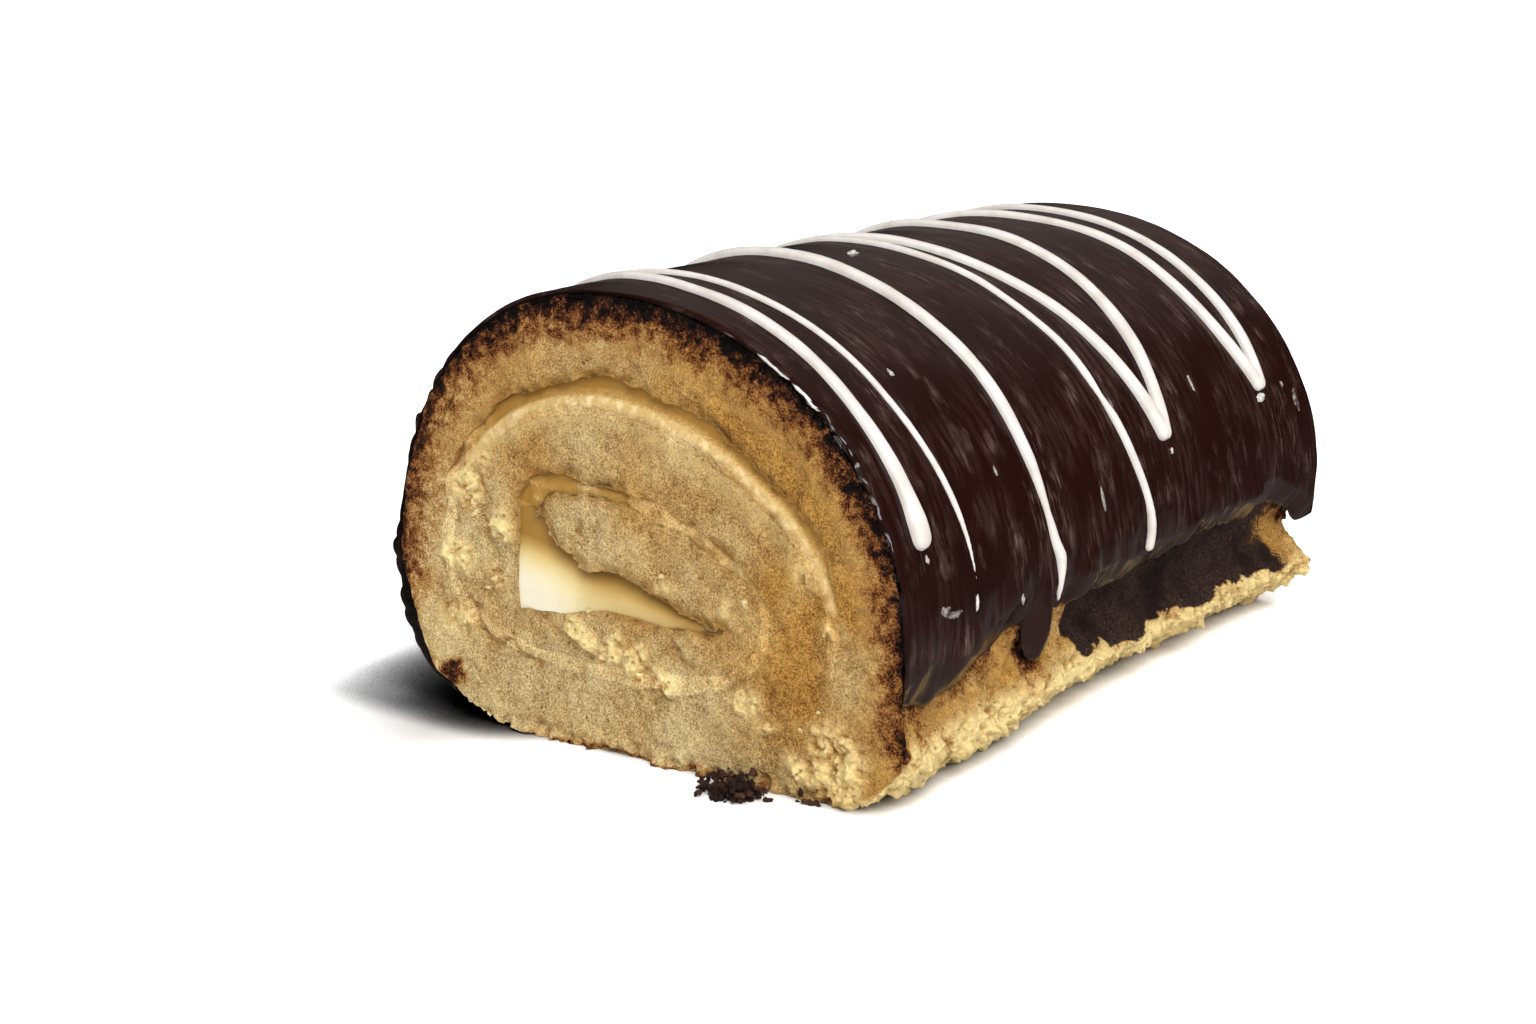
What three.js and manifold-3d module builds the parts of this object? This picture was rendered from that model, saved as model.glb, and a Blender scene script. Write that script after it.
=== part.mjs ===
// Swiss roll cake: a cut length of rolled sponge round a cream spiral, under a chocolate
// coat with drizzled icing. Millimetres, +Z up. The roll lies along Y with both ends cut
// square; it stands on Z = 0 and the origin is under its middle.
import * as THREE from 'three';
import { mergeVertices } from 'three/addons/utils/BufferGeometryUtils.js';
import Module from 'manifold-3d';

const wasm = await Module();
wasm.setup();

// ---------------------------------------------------------------- driving dimensions
const LENGTH = 128; // cut face to cut face
const FRONT_Y = -LENGTH / 2;
const GAP = 0.3; // clearance between two neighbouring pieces
const MERGE_DISTANCE = 1e-4; // points nearer than this are one

// Section of the coated roll: four superellipse quarters that meet at the crest, at the
// widest points of both sides and at the base.
const CREST_X = -5;
const CREST_Z = 66;
const WAIST_Z = 22;
const LEFT_X = -45;
const RIGHT_X = 45;
const BASE_LEFT_X = -14; // the underside is flat from here to the right foot
const BASE_RIGHT_X = 29;
const ROUNDNESS = 2.1; // exponent of the quarters, 2 being an ellipse
const ROUNDNESS_LOWER_LEFT = 2.5; // of the coat, where it curls under the left side
const ROUNDNESS_UNDERSIDE = 2.3; // of the sponge inside it there

// Chocolate coat.
const COAT_THICKNESS = 2.4;
const LIP_DROP = 0.9; // how far the rounded lower lip hangs below the coat's edge
const LIP_MIDDLE = 0.4; // place of the lip's lowest line, as a share of the way in
const FLANK_DEPTH_RIGHT = 34; // the right flank stays almost upright below the waist
const FLANK_DEPTH_LEFT = 24.4; // the left flank curls under the roll
const LEFT_SWELL = 1.4; // how much thicker the coat gets where it curls under
const SWELL_STARTS = 95; // degrees from the crest
const SWELL_FULL = 130;
const COAT_SEGMENTS = 28;
const STATION_STEP = 7.1;
const LEAST_STATION_STEP = 0.8;
const DRIP_SHARES = [-1, -0.7, 0, 0.7, 1]; // extra stations across a narrow drip

// Height of the coat's lower edge, and its waves and drips along the length. Places are
// measured from the front cut face; a fullness below 1 makes a wave blunter.
const RIGHT_EDGE = {
  height: 19.2,
  waves: [
    { at: 5, half: 19, rise: -4.8, fullness: 1 },
    { at: 37.6, half: 4.2, rise: -6.4, fullness: 0.4 },
    { at: 90, half: 36, rise: 1.6, fullness: 1 },
    { at: 112, half: 9, rise: 1.9, fullness: 1 },
    { at: 128, half: 6, rise: -3.4, fullness: 1 },
  ],
};
const LEFT_EDGE = {
  height: 10,
  waves: [
    { at: 0, half: 16, rise: -6.5, fullness: 1 },
    { at: 42, half: 5, rise: -4, fullness: 1 },
    { at: 64, half: 15, rise: 2.6, fullness: 1 },
    { at: 89, half: 6, rise: -4.6, fullness: 1 },
    { at: 122, half: 15, rise: -2, fullness: 1 },
  ],
};

// Right flank of the sponge below the waist, at places from the front cut face: a neck
// under the coat's lip over a foot that juts out and is undercut. Each row is [X, Z].
const SPONGE_INSET = COAT_THICKNESS + GAP;
const FLANK_TOP = [RIGHT_X - SPONGE_INSET, WAIST_Z];
const FLANKS = [
  { at: 0, rows: [FLANK_TOP, [41.9, 13.6], [44.2, 8.6], [40.6, 3.6], [33.5, 0]] },
  { at: 4, rows: [FLANK_TOP, [41.6, 13.4], [43.4, 8], [41.4, 3.6], [35.5, 0]] },
  { at: 33, rows: [FLANK_TOP, [40.6, 13.4], [42.6, 8.4], [41.2, 3.8], [36, 0]] },
  { at: 54, rows: [FLANK_TOP, [38.6, 14], [41.6, 9.6], [40.6, 6.6], [31, 0]] },
  { at: 114, rows: [FLANK_TOP, [38.2, 14], [41.2, 9.4], [40.4, 6.4], [31.5, 0]] },
  { at: 128, rows: [FLANK_TOP, [38.6, 15], [43, 9.8], [43.8, 7.6], [34, 0]] },
];
const FOOT_WAVE = 0.25; // share of the foot's wandering, in millimetres for each wave
const FOOT_WAVE_LENGTHS = [29, 17];
const FLANK_STEPS = 8;
const SECTION_STEPS = 11; // steps in each superellipse quarter

// Cream spiral, from the pocket outwards. Each row is a place where the spiral runs level
// or upright: X, Z, half the cream's thickness there, and the roundness of the quarter
// turn that leads to the next row.
const SPIRAL = [
  { x: -9, z: 22.6, half: 1.6, roundness: 2.2 },
  { x: -20, z: 30, half: 1.2, roundness: 3.6 },
  { x: -6, z: 37.7, half: 1.1, roundness: 1.6 },
  { x: 22.7, z: 24.5, half: 0.6, roundness: 2.5 },
  { x: -2, z: 11.8, half: 0.9, roundness: 3 },
  { x: -34.2, z: 27, half: 0.9, roundness: 2.1 },
  { x: -5, z: 50.8, half: 2.6, roundness: 1.7 },
  { x: 33.4, z: 26, half: 1.2, roundness: 2 },
];
const SPIRAL_TAIL = { x: 33, z: 17.5, half: 0.5 };
const QUARTER_STEPS = 9;

// Cream pocket under the rolled-in end of the sponge: a wedge that opens towards the left.
const POCKET = [
  { x: 15.3, z: 21.2, half: 0.5 },
  { x: 5, z: 21.8, half: 1.8 },
  { x: -5, z: 23.4, half: 2.6 },
  { x: -11, z: 23.3, half: 3.9 },
  { x: -15.5, z: 24.2, half: 5.5 },
  { x: -18.5, z: 25.2, half: 6.5 },
  { x: -21, z: 25.2, half: 6.7 },
];
const CREAM_RECESS = 0.8; // the cream sits back from both cut faces

// Icing drizzle. A leg is one pass over the roll: its route is a row of [angle from the
// crest in degrees, distance from the front cut face], with its width at both ends.
const ICING_RISE = 0.45; // height of a strand for each millimetre of its width
const ICING_SPACING = 3.6;
const ICING_ROUND_STEPS = 5;
const ICING_END_SHARE = 0.45; // width of a strand's tips, as a share of its full width
const ROUTE_RADIUS = 45; // of the coat, where a route's angles are turned into arcs
const ROUTE_TANGENT = 0.01; // share of a route over which its direction is taken
const ICING_STRANDS = [
  [
    { route: [[-27, 14], [0, 10.4], [20, 8.2], [42, 7], [73.5, 6.6]], width: [2.2, 3.8] },
    { route: [[-27, 14], [0, 15.8], [20, 15.4], [45, 15.1], [84.5, 18]], width: [2.2, 1.3] },
  ],
  [{ route: [[-84, 47], [-40, 43.4], [0, 40.6], [30, 38.6], [60, 37.3], [89, 39]], width: [2.6, 2.9] }],
  [
    { route: [[-24, 64], [0, 61.6], [20, 60.8], [45, 62.4], [70, 64.8], [88, 67]], width: [2, 1.9] },
    { route: [[-24, 64], [0, 65.8], [20, 67], [45, 71], [70, 75.8]], width: [2.2, 3] },
    { route: [[-78, 95], [-40, 89], [0, 86], [25, 84.4], [48, 81], [70, 75.8]], width: [2.4, 3] },
    { route: [[-78, 95], [-40, 99], [0, 103.4], [25, 106], [50, 107.2], [67, 111]], width: [2.4, 2.8] },
    { route: [[-82, 121], [-40, 118], [0, 116], [30, 115], [55, 113.4], [67, 111]], width: [2.2, 2.6] },
  ],
];

// ------------------------------------------------------------------------- materials
const finish = (color, roughness) => new THREE.MeshStandardMaterial({ color, roughness, metalness: 0 });
const SPONGE_FINISH = finish(0xd9b77a, 0.95);
const CREAM_FINISH = finish(0xfbf0cf, 0.5);
const COAT_FINISH = finish(0x2e1a17, 0.22);
const ICING_FINISH = finish(0xf3f0ea, 0.35);

// --------------------------------------------------------------------- small helpers
const point = ([x, z]) => new THREE.Vector2(x, z);
const radians = THREE.MathUtils.degToRad;
const mix = THREE.MathUtils.lerp;

// Point of a superellipse quarter: angle 0 is its level end, a right angle its upright end.
function quarterPoint(centre, reachX, reachZ, angle, roundness) {
  const power = 2 / roundness;
  const across = Math.abs(Math.sin(angle)) ** power;
  const up = Math.abs(Math.cos(angle)) ** power;
  return new THREE.Vector2(centre.x + reachX * across, centre.y + reachZ * up);
}

// Height of an edge at one place along the length.
function edgeHeight({ height, waves }, distance) {
  let total = height;
  for (const { at, half, rise, fullness } of waves) {
    const away = Math.min(Math.abs(distance - at) / half, 1);
    total += rise * Math.cos((away * Math.PI) / 2) ** (2 * fullness);
  }
  return total;
}

// Closed body through a row of rings that all have the same number of points, each one
// clockwise when seen along the row. The profiles are flat pictures of the two end rings,
// used to fill the ends.
function loft(rings, profiles) {
  const count = rings[0].length;
  const positions = rings.flat().flatMap((p) => [p.x, p.y, p.z]);
  const faces = [];
  for (let i = 0; i < rings.length - 1; i += 1) {
    for (let j = 0; j < count; j += 1) {
      const a = i * count + j;
      const b = i * count + ((j + 1) % count);
      faces.push(a, b, a + count, b, b + count, a + count);
    }
  }
  const last = (rings.length - 1) * count;
  for (const [a, b, c] of THREE.ShapeUtils.triangulateShape(profiles[0], [])) {
    faces.push(a, b, c);
  }
  for (const [a, b, c] of THREE.ShapeUtils.triangulateShape(profiles[1], [])) {
    faces.push(last + c, last + b, last + a);
  }
  const geometry = new THREE.BufferGeometry();
  geometry.setAttribute('position', new THREE.Float32BufferAttribute(positions, 3));
  geometry.setIndex(faces);
  return geometry;
}

// Solid for joining and cutting, from a closed geometry.
function solid(geometry) {
  const bare = geometry.clone();
  bare.deleteAttribute('normal');
  bare.deleteAttribute('uv');
  const merged = mergeVertices(bare, MERGE_DISTANCE);
  const mesh = new wasm.Mesh({
    numProp: 3,
    vertProperties: new Float32Array(merged.attributes.position.array),
    triVerts: new Uint32Array(merged.index.array),
  });
  return new wasm.Manifold(mesh);
}

// Geometry of a joined or cut solid.
function geometryOf(body) {
  const mesh = body.getMesh();
  const geometry = new THREE.BufferGeometry();
  geometry.setAttribute('position', new THREE.BufferAttribute(mesh.vertProperties, 3));
  geometry.setIndex(new THREE.BufferAttribute(mesh.triVerts, 1));
  geometry.computeVertexNormals();
  return geometry;
}

function piece(name, body, material) {
  const mesh = new THREE.Mesh(geometryOf(body), material);
  mesh.name = name;
  return mesh;
}

// -------------------------------------------------------------------------- sections
// Point on the coated roll's outline, at an angle from the crest that is positive to the
// right and passes a right angle at the waist, moved in by an inset.
function coatPoint(angle, inset) {
  const right = angle >= 0;
  const aboveWaist = Math.abs(angle) <= Math.PI / 2;
  const baseX = right ? BASE_RIGHT_X : BASE_LEFT_X;
  const flankDepth = right ? FLANK_DEPTH_RIGHT : FLANK_DEPTH_LEFT;
  const centre = new THREE.Vector2(aboveWaist ? CREST_X : baseX, WAIST_Z);
  const reachX = right ? RIGHT_X - inset - centre.x : LEFT_X + inset - centre.x;
  const reachZ = aboveWaist ? CREST_Z - inset - WAIST_Z : -flankDepth;
  const roundness = right || aboveWaist ? ROUNDNESS : ROUNDNESS_LOWER_LEFT;
  return quarterPoint(centre, reachX, reachZ, angle, roundness);
}

// Thickness of the coat, which swells where the left flank curls under.
function coatThickness(angle) {
  const curl = THREE.MathUtils.smoothstep(-angle, radians(SWELL_STARTS), radians(SWELL_FULL));
  return COAT_THICKNESS + LEFT_SWELL * curl;
}

// Angle from the crest, without sign, at which the coat's outline is at a height below
// the waist.
function angleAtHeight(height, flankDepth, roundness) {
  const share = ((WAIST_Z - height) / flankDepth) ** (roundness / 2);
  return Math.PI / 2 + Math.asin(share);
}

// Corners of the right flank at a distance from the front cut face, from the waist down.
function flankCorners(distance) {
  const next = Math.max(FLANKS.findIndex(({ at }) => at >= distance), 1);
  const before = FLANKS[next - 1];
  const after = FLANKS[next];
  const share = (distance - before.at) / (after.at - before.at);
  const corners = before.rows.map((row, i) => point(row).lerp(point(after.rows[i]), share));
  for (const length of FOOT_WAVE_LENGTHS) {
    const wander = FOOT_WAVE * Math.sin((distance * 2 * Math.PI) / length);
    corners[2].x += wander;
    corners[3].x += wander;
  }
  return corners;
}

// Sponge outline at a distance from the front cut face, anticlockwise seen from the front.
function spongeOutline(distance) {
  const outline = [];
  const flank = flankCorners(distance);
  const crestToWaist = Math.PI / 2 / SECTION_STEPS;
  outline.push(...new THREE.SplineCurve(flank).getPoints(FLANK_STEPS).reverse());
  for (let i = SECTION_STEPS - 1; i > -SECTION_STEPS; i -= 1) {
    outline.push(coatPoint(i * crestToWaist, SPONGE_INSET));
  }
  const underLeft = new THREE.Vector2(BASE_LEFT_X, WAIST_Z);
  const underReach = LEFT_X + SPONGE_INSET - BASE_LEFT_X;
  for (let i = SECTION_STEPS; i >= 0; i -= 1) {
    const angle = i * crestToWaist;
    outline.push(quarterPoint(underLeft, underReach, -WAIST_Z, angle, ROUNDNESS_UNDERSIDE));
  }
  return outline;
}

// Centre points and half thicknesses of the cream spiral, quarter turn by quarter turn.
function spiralCentres() {
  const centres = [];
  for (let i = 0; i < SPIRAL.length - 1; i += 1) {
    const from = SPIRAL[i];
    const to = SPIRAL[i + 1];
    const levelFirst = i % 2 === 0;
    const centre = levelFirst ? new THREE.Vector2(from.x, to.z) : new THREE.Vector2(to.x, from.z);
    const reachX = levelFirst ? to.x - from.x : from.x - to.x;
    const reachZ = levelFirst ? from.z - to.z : to.z - from.z;
    for (let k = 0; k < QUARTER_STEPS; k += 1) {
      const share = k / QUARTER_STEPS;
      const angle = ((levelFirst ? share : 1 - share) * Math.PI) / 2;
      const { x, y } = quarterPoint(centre, reachX, reachZ, angle, from.roundness);
      centres.push({ x, z: y, half: mix(from.half, to.half, share) });
    }
  }
  centres.push(SPIRAL[SPIRAL.length - 1], SPIRAL_TAIL);
  return centres;
}

// Flat ribbon of uneven thickness along a row of centres, grown on every side.
function ribbonShape(centres, grow) {
  const left = [];
  const right = [];
  centres.forEach((centre, i) => {
    const before = centres[Math.max(i - 1, 0)];
    const after = centres[Math.min(i + 1, centres.length - 1)];
    const along = new THREE.Vector2(after.x - before.x, after.z - before.z).normalize();
    const across = new THREE.Vector2(-along.y, along.x).multiplyScalar(centre.half + grow);
    const middle = new THREE.Vector2(centre.x, centre.z);
    if (i === 0) {
      middle.addScaledVector(along, -grow);
    }
    if (i === centres.length - 1) {
      middle.addScaledVector(along, grow);
    }
    left.push(middle.clone().add(across));
    right.push(middle.clone().sub(across));
  });
  return new THREE.Shape([...right, ...left.reverse()]);
}

// A shape drawn in X and Z, drawn out along Y and centred on the origin.
function drawnOut(shape, length) {
  const geometry = new THREE.ExtrudeGeometry(shape, { depth: length, bevelEnabled: false });
  geometry.rotateX(Math.PI / 2);
  geometry.translate(0, length / 2, 0);
  return solid(geometry);
}

// ---------------------------------------------------------------------------- pieces
function makeCreamBody(grow, length) {
  const spiral = drawnOut(ribbonShape(spiralCentres(), grow), length);
  const pocket = drawnOut(ribbonShape(POCKET, grow), length);
  return spiral.add(pocket);
}

function evenStations() {
  const count = Math.round(LENGTH / STATION_STEP);
  return Array.from({ length: count + 1 }, (_, i) => (i * LENGTH) / count);
}

function makeSponge() {
  const outlines = evenStations().map((distance) => ({ distance, outline: spongeOutline(distance) }));
  const rings = outlines.map(({ distance, outline }) =>
    outline.map((p) => new THREE.Vector3(p.x, FRONT_Y + distance, p.y)).reverse(),
  );
  const ends = [outlines[0], outlines[outlines.length - 1]].map(({ outline }) => [...outline].reverse());
  const body = solid(loft(rings, ends));
  return body.subtract(makeCreamBody(GAP, LENGTH * 2));
}

// Places along the coat that catch every wave and drip of both edges.
function coatStations() {
  const even = evenStations();
  const narrow = [...RIGHT_EDGE.waves, ...LEFT_EDGE.waves].filter((wave) => wave.half < STATION_STEP);
  const extra = narrow.flatMap(({ at, half }) => DRIP_SHARES.map((share) => at + share * half));
  const isApart = (place) => even.every((known) => Math.abs(place - known) > LEAST_STATION_STEP);
  const apart = extra.filter((place) => place < LENGTH && isApart(place));
  return [...even, ...apart].sort((a, b) => a - b);
}

// Ring of the coat at one station: outer face, right lip, inner face, left lip.
function coatRing(distance) {
  const rightHeight = edgeHeight(RIGHT_EDGE, distance);
  const rightAngle = angleAtHeight(rightHeight, FLANK_DEPTH_RIGHT, ROUNDNESS);
  const leftHeight = edgeHeight(LEFT_EDGE, distance);
  const leftAngle = -angleAtHeight(leftHeight, FLANK_DEPTH_LEFT, ROUNDNESS_LOWER_LEFT);
  const outer = [];
  const inner = [];
  for (let i = 0; i <= COAT_SEGMENTS; i += 1) {
    const angle = mix(leftAngle, rightAngle, i / COAT_SEGMENTS);
    outer.push(coatPoint(angle, 0));
    inner.push(coatPoint(angle, coatThickness(angle)));
  }
  const lip = (end, next) => {
    const middle = outer[end].clone().lerp(inner[end], LIP_MIDDLE);
    const down = outer[end].clone().sub(outer[next]).normalize();
    return middle.addScaledVector(down, LIP_DROP);
  };
  const rightLip = lip(COAT_SEGMENTS, COAT_SEGMENTS - 1);
  const leftLip = lip(0, 1);
  return [...outer, rightLip, ...inner.reverse(), leftLip];
}

function makeCoat() {
  const stations = coatStations();
  const sections = stations.map(coatRing);
  const rings = sections.map((ring, i) => {
    const y = FRONT_Y + stations[i];
    return ring.map((p) => new THREE.Vector3(p.x, y, p.y));
  });
  return solid(loft(rings, [sections[0], sections[sections.length - 1]]));
}

// One pass of icing: a half-round bead with a flat underside, rounded off at both ends.
function makeIcingLeg({ route, width }) {
  const stops = route.map(([angle, y]) => new THREE.Vector3(radians(angle) * ROUTE_RADIUS, y, 0));
  const path = new THREE.CatmullRomCurve3(stops);
  const onCoat = (share, lift) => {
    const { x: arc, y } = path.getPoint(THREE.MathUtils.clamp(share, 0, 1));
    const { x, y: z } = coatPoint(arc / ROUTE_RADIUS, -lift);
    return new THREE.Vector3(x, FRONT_Y + y, z);
  };
  const steps = Math.round((stops[stops.length - 1].x - stops[0].x) / ICING_SPACING);
  const profile = [];
  for (let k = 0; k <= ICING_ROUND_STEPS; k += 1) {
    const turn = (k * Math.PI) / ICING_ROUND_STEPS;
    profile.push(new THREE.Vector2(-Math.cos(turn), Math.sin(turn)));
  }
  const rings = [];
  for (let i = 0; i <= steps; i += 1) {
    const share = i / steps;
    const base = onCoat(share, GAP);
    const up = onCoat(share, GAP + 1).sub(base).normalize();
    const along = onCoat(share + ROUTE_TANGENT, GAP).sub(onCoat(share - ROUTE_TANGENT, GAP));
    const side = new THREE.Vector3().crossVectors(along, up).normalize();
    const isTip = i === 0 || i === steps;
    const half = (mix(width[0], width[1], share ** 2) / 2) * (isTip ? ICING_END_SHARE : 1);
    const rise = half * 2 * ICING_RISE;
    const ring = profile.map((p) => {
      const foot = base.clone().addScaledVector(side, p.x * half);
      return foot.addScaledVector(up, p.y * rise);
    });
    rings.push(ring);
  }
  return solid(loft(rings, [profile, profile]));
}

function makeIcingStrand(legs) {
  return legs.map(makeIcingLeg).reduce((whole, leg) => whole.add(leg));
}

// ------------------------------------------------------------------------ scene graph
const roll = new THREE.Group();
roll.add(piece('sponge', makeSponge(), SPONGE_FINISH));
roll.add(piece('cream', makeCreamBody(0, LENGTH - 2 * CREAM_RECESS), CREAM_FINISH));
roll.add(piece('chocolate_coat', makeCoat(), COAT_FINISH));
ICING_STRANDS.forEach((legs, i) => {
  roll.add(piece(`icing_strand_${i + 1}`, makeIcingStrand(legs), ICING_FINISH));
});

export default roll;
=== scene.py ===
"""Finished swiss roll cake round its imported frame: crumb, cream, chocolate coat and icing.

Shapes are worked out in millimetres in the frame's own axes (+X right, +Y along the roll,
+Z up) and turned into metres when a mesh is made.
"""
import logging
import math
from dataclasses import dataclass, field
from enum import Enum
from functools import cache
from typing import Callable

import bmesh
import bpy
import numpy as np
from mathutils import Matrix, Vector
from mathutils.geometry import delaunay_2d_cdt


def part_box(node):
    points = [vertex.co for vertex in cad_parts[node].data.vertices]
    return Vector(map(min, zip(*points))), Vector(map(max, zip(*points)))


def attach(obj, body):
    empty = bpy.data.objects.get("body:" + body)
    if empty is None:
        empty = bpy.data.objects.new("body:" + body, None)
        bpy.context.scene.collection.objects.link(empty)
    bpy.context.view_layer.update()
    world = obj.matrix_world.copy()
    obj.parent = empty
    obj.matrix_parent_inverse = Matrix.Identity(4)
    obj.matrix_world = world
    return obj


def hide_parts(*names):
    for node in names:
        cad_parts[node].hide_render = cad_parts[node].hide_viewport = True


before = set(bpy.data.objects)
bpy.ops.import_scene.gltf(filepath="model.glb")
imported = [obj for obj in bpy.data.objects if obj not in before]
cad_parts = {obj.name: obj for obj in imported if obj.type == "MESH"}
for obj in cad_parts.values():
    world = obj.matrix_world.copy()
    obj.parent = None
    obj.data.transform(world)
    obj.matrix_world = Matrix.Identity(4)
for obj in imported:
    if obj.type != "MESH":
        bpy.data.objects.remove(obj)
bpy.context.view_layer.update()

MM = 0.001
ON_FACE = 1e-3  # mm from a cut face at which a point still belongs to it
SHARP_DEGREES = 62.0
BODY = "root"
LOG = logging.getLogger("swiss_roll")
Array = np.ndarray
Socket = bpy.types.NodeSocket
Sockets = bpy.types.bpy_prop_collection


# ------------------------------------------------------------------------ number helpers
def smoothstep(low: float, high: float, value: Array) -> Array:
    """Soft step from 0 at low to 1 at high, whichever of the two is larger."""
    share = np.clip((value - low) / (high - low), 0.0, 1.0)
    return share * share * (3.0 - 2.0 * share)


def bump(distance: Array, half: float) -> Array:
    """Smooth hump of height 1 at distance 0 that dies away at half on both sides."""
    away = np.minimum(np.abs(distance) / half, 1.0)
    return np.cos(away * np.pi / 2.0) ** 2


def nearest(points: Array, targets: Array) -> tuple[Array, Array]:
    """Distance from each point to its nearest target, and that target's index.

    Args:
        points: Points, one to a row.
        targets: Places to measure to, one to a row.

    Returns:
        Distances and indices, one for each point.
    """
    distances = np.empty(len(points))
    indices = np.empty(len(points), dtype=int)
    chunk = 3000
    for start in range(0, len(points), chunk):
        part = points[start:start + chunk]
        square = ((part[:, None, :] - targets[None, :, :]) ** 2).sum(axis=2)
        best = square.argmin(axis=1)
        indices[start:start + chunk] = best
        distances[start:start + chunk] = np.sqrt(square[np.arange(len(part)), best])
    return distances, indices


def line_distance(points: Array, line: Array, closed: bool = True) -> tuple[Array, Array]:
    """Distance from flat points to a line of corners.

    Args:
        points: Flat points, one to a row.
        line: Corners in order.
        closed: Whether the last corner joins the first.

    Returns:
        Distances, and the index of the nearest corner.
    """
    _, index = nearest(points, line)
    best = np.full(len(points), np.inf)
    for step in (-1, 0):
        first, last = index + step, index + step + 1
        if closed:
            first, last = first % len(line), last % len(line)
        else:
            first, last = np.clip(first, 0, len(line) - 1), np.clip(last, 0, len(line) - 1)
        a, side = line[first], line[last] - line[first]
        share = ((points - a) * side).sum(axis=1) / np.maximum((side ** 2).sum(axis=1), 1e-12)
        foot = a + side * np.clip(share, 0.0, 1.0)[:, None]
        best = np.minimum(best, np.linalg.norm(points - foot, axis=1))
    return best, index


def inside(points: Array, loop: Array) -> Array:
    """Tells which points lie inside a closed flat loop.

    Args:
        points: Flat points, one to a row.
        loop: Corners of the loop in order.

    Returns:
        True for each point inside.
    """
    found = np.zeros(len(points), dtype=bool)
    x, z = points[:, 0], points[:, 1]
    for (x0, z0), (x1, z1) in zip(loop, np.roll(loop, -1, axis=0)):
        if z0 == z1:
            continue
        crosses = (z0 > z) != (z1 > z)
        found ^= crosses & (x < (x1 - x0) * (z - z0) / (z1 - z0) + x0)
    return found


def arc_lengths(loop: Array, closed: bool = False) -> Array:
    """Distances along a row of points from the first, with one more than the points when closed."""
    ends = np.vstack([loop, loop[:1]]) if closed else loop
    return np.concatenate([[0.0], np.cumsum(np.linalg.norm(np.diff(ends, axis=0), axis=1))])


def in_space(flat: Array, y: Array | float) -> Array:
    """Points in space from flat ones, X and Z to a row, at places along Y."""
    return np.stack([flat[:, 0], y + 0.0 * flat[:, 0], flat[:, 1]], axis=1)


def unit(rows: Array) -> Array:
    """Rows turned to unit length."""
    return rows / np.linalg.norm(rows, axis=1)[:, None]


def resampled(loop: Array, step: float) -> Array:
    """A closed loop with evenly spaced corners.

    Args:
        loop: Corners of the loop in order.
        step: Wanted distance between corners.

    Returns:
        The new corners.
    """
    along = arc_lengths(loop, closed=True)
    closed = np.vstack([loop, loop[:1]])
    places = np.linspace(0.0, along[-1], int(round(along[-1] / step)), endpoint=False)
    return np.stack([np.interp(places, along, closed[:, i]) for i in range(2)], axis=1)


def spline(rows: Array, count: int) -> Array:
    """Smooth curve through a few points, both ends held.

    Args:
        rows: Points that the curve passes, one to a row.
        count: Number of even steps along the whole curve.

    Returns:
        count + 1 points of the curve.
    """
    last = len(rows) - 1
    place = np.linspace(0.0, last, count + 1)
    first = np.minimum(place.astype(int), last - 1)
    t = (place - first)[:, None]
    before, after = rows[np.maximum(first - 1, 0)], rows[np.minimum(first + 2, last)]
    a, b = rows[first], rows[first + 1]
    slope_a, slope_b = (b - before) / 2.0, (after - a) / 2.0
    cubic = (2.0 * a - 2.0 * b + slope_a + slope_b) * t ** 3
    square = (-3.0 * a + 3.0 * b - 2.0 * slope_a - slope_b) * t ** 2
    return cubic + square + slope_a * t + a


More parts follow.
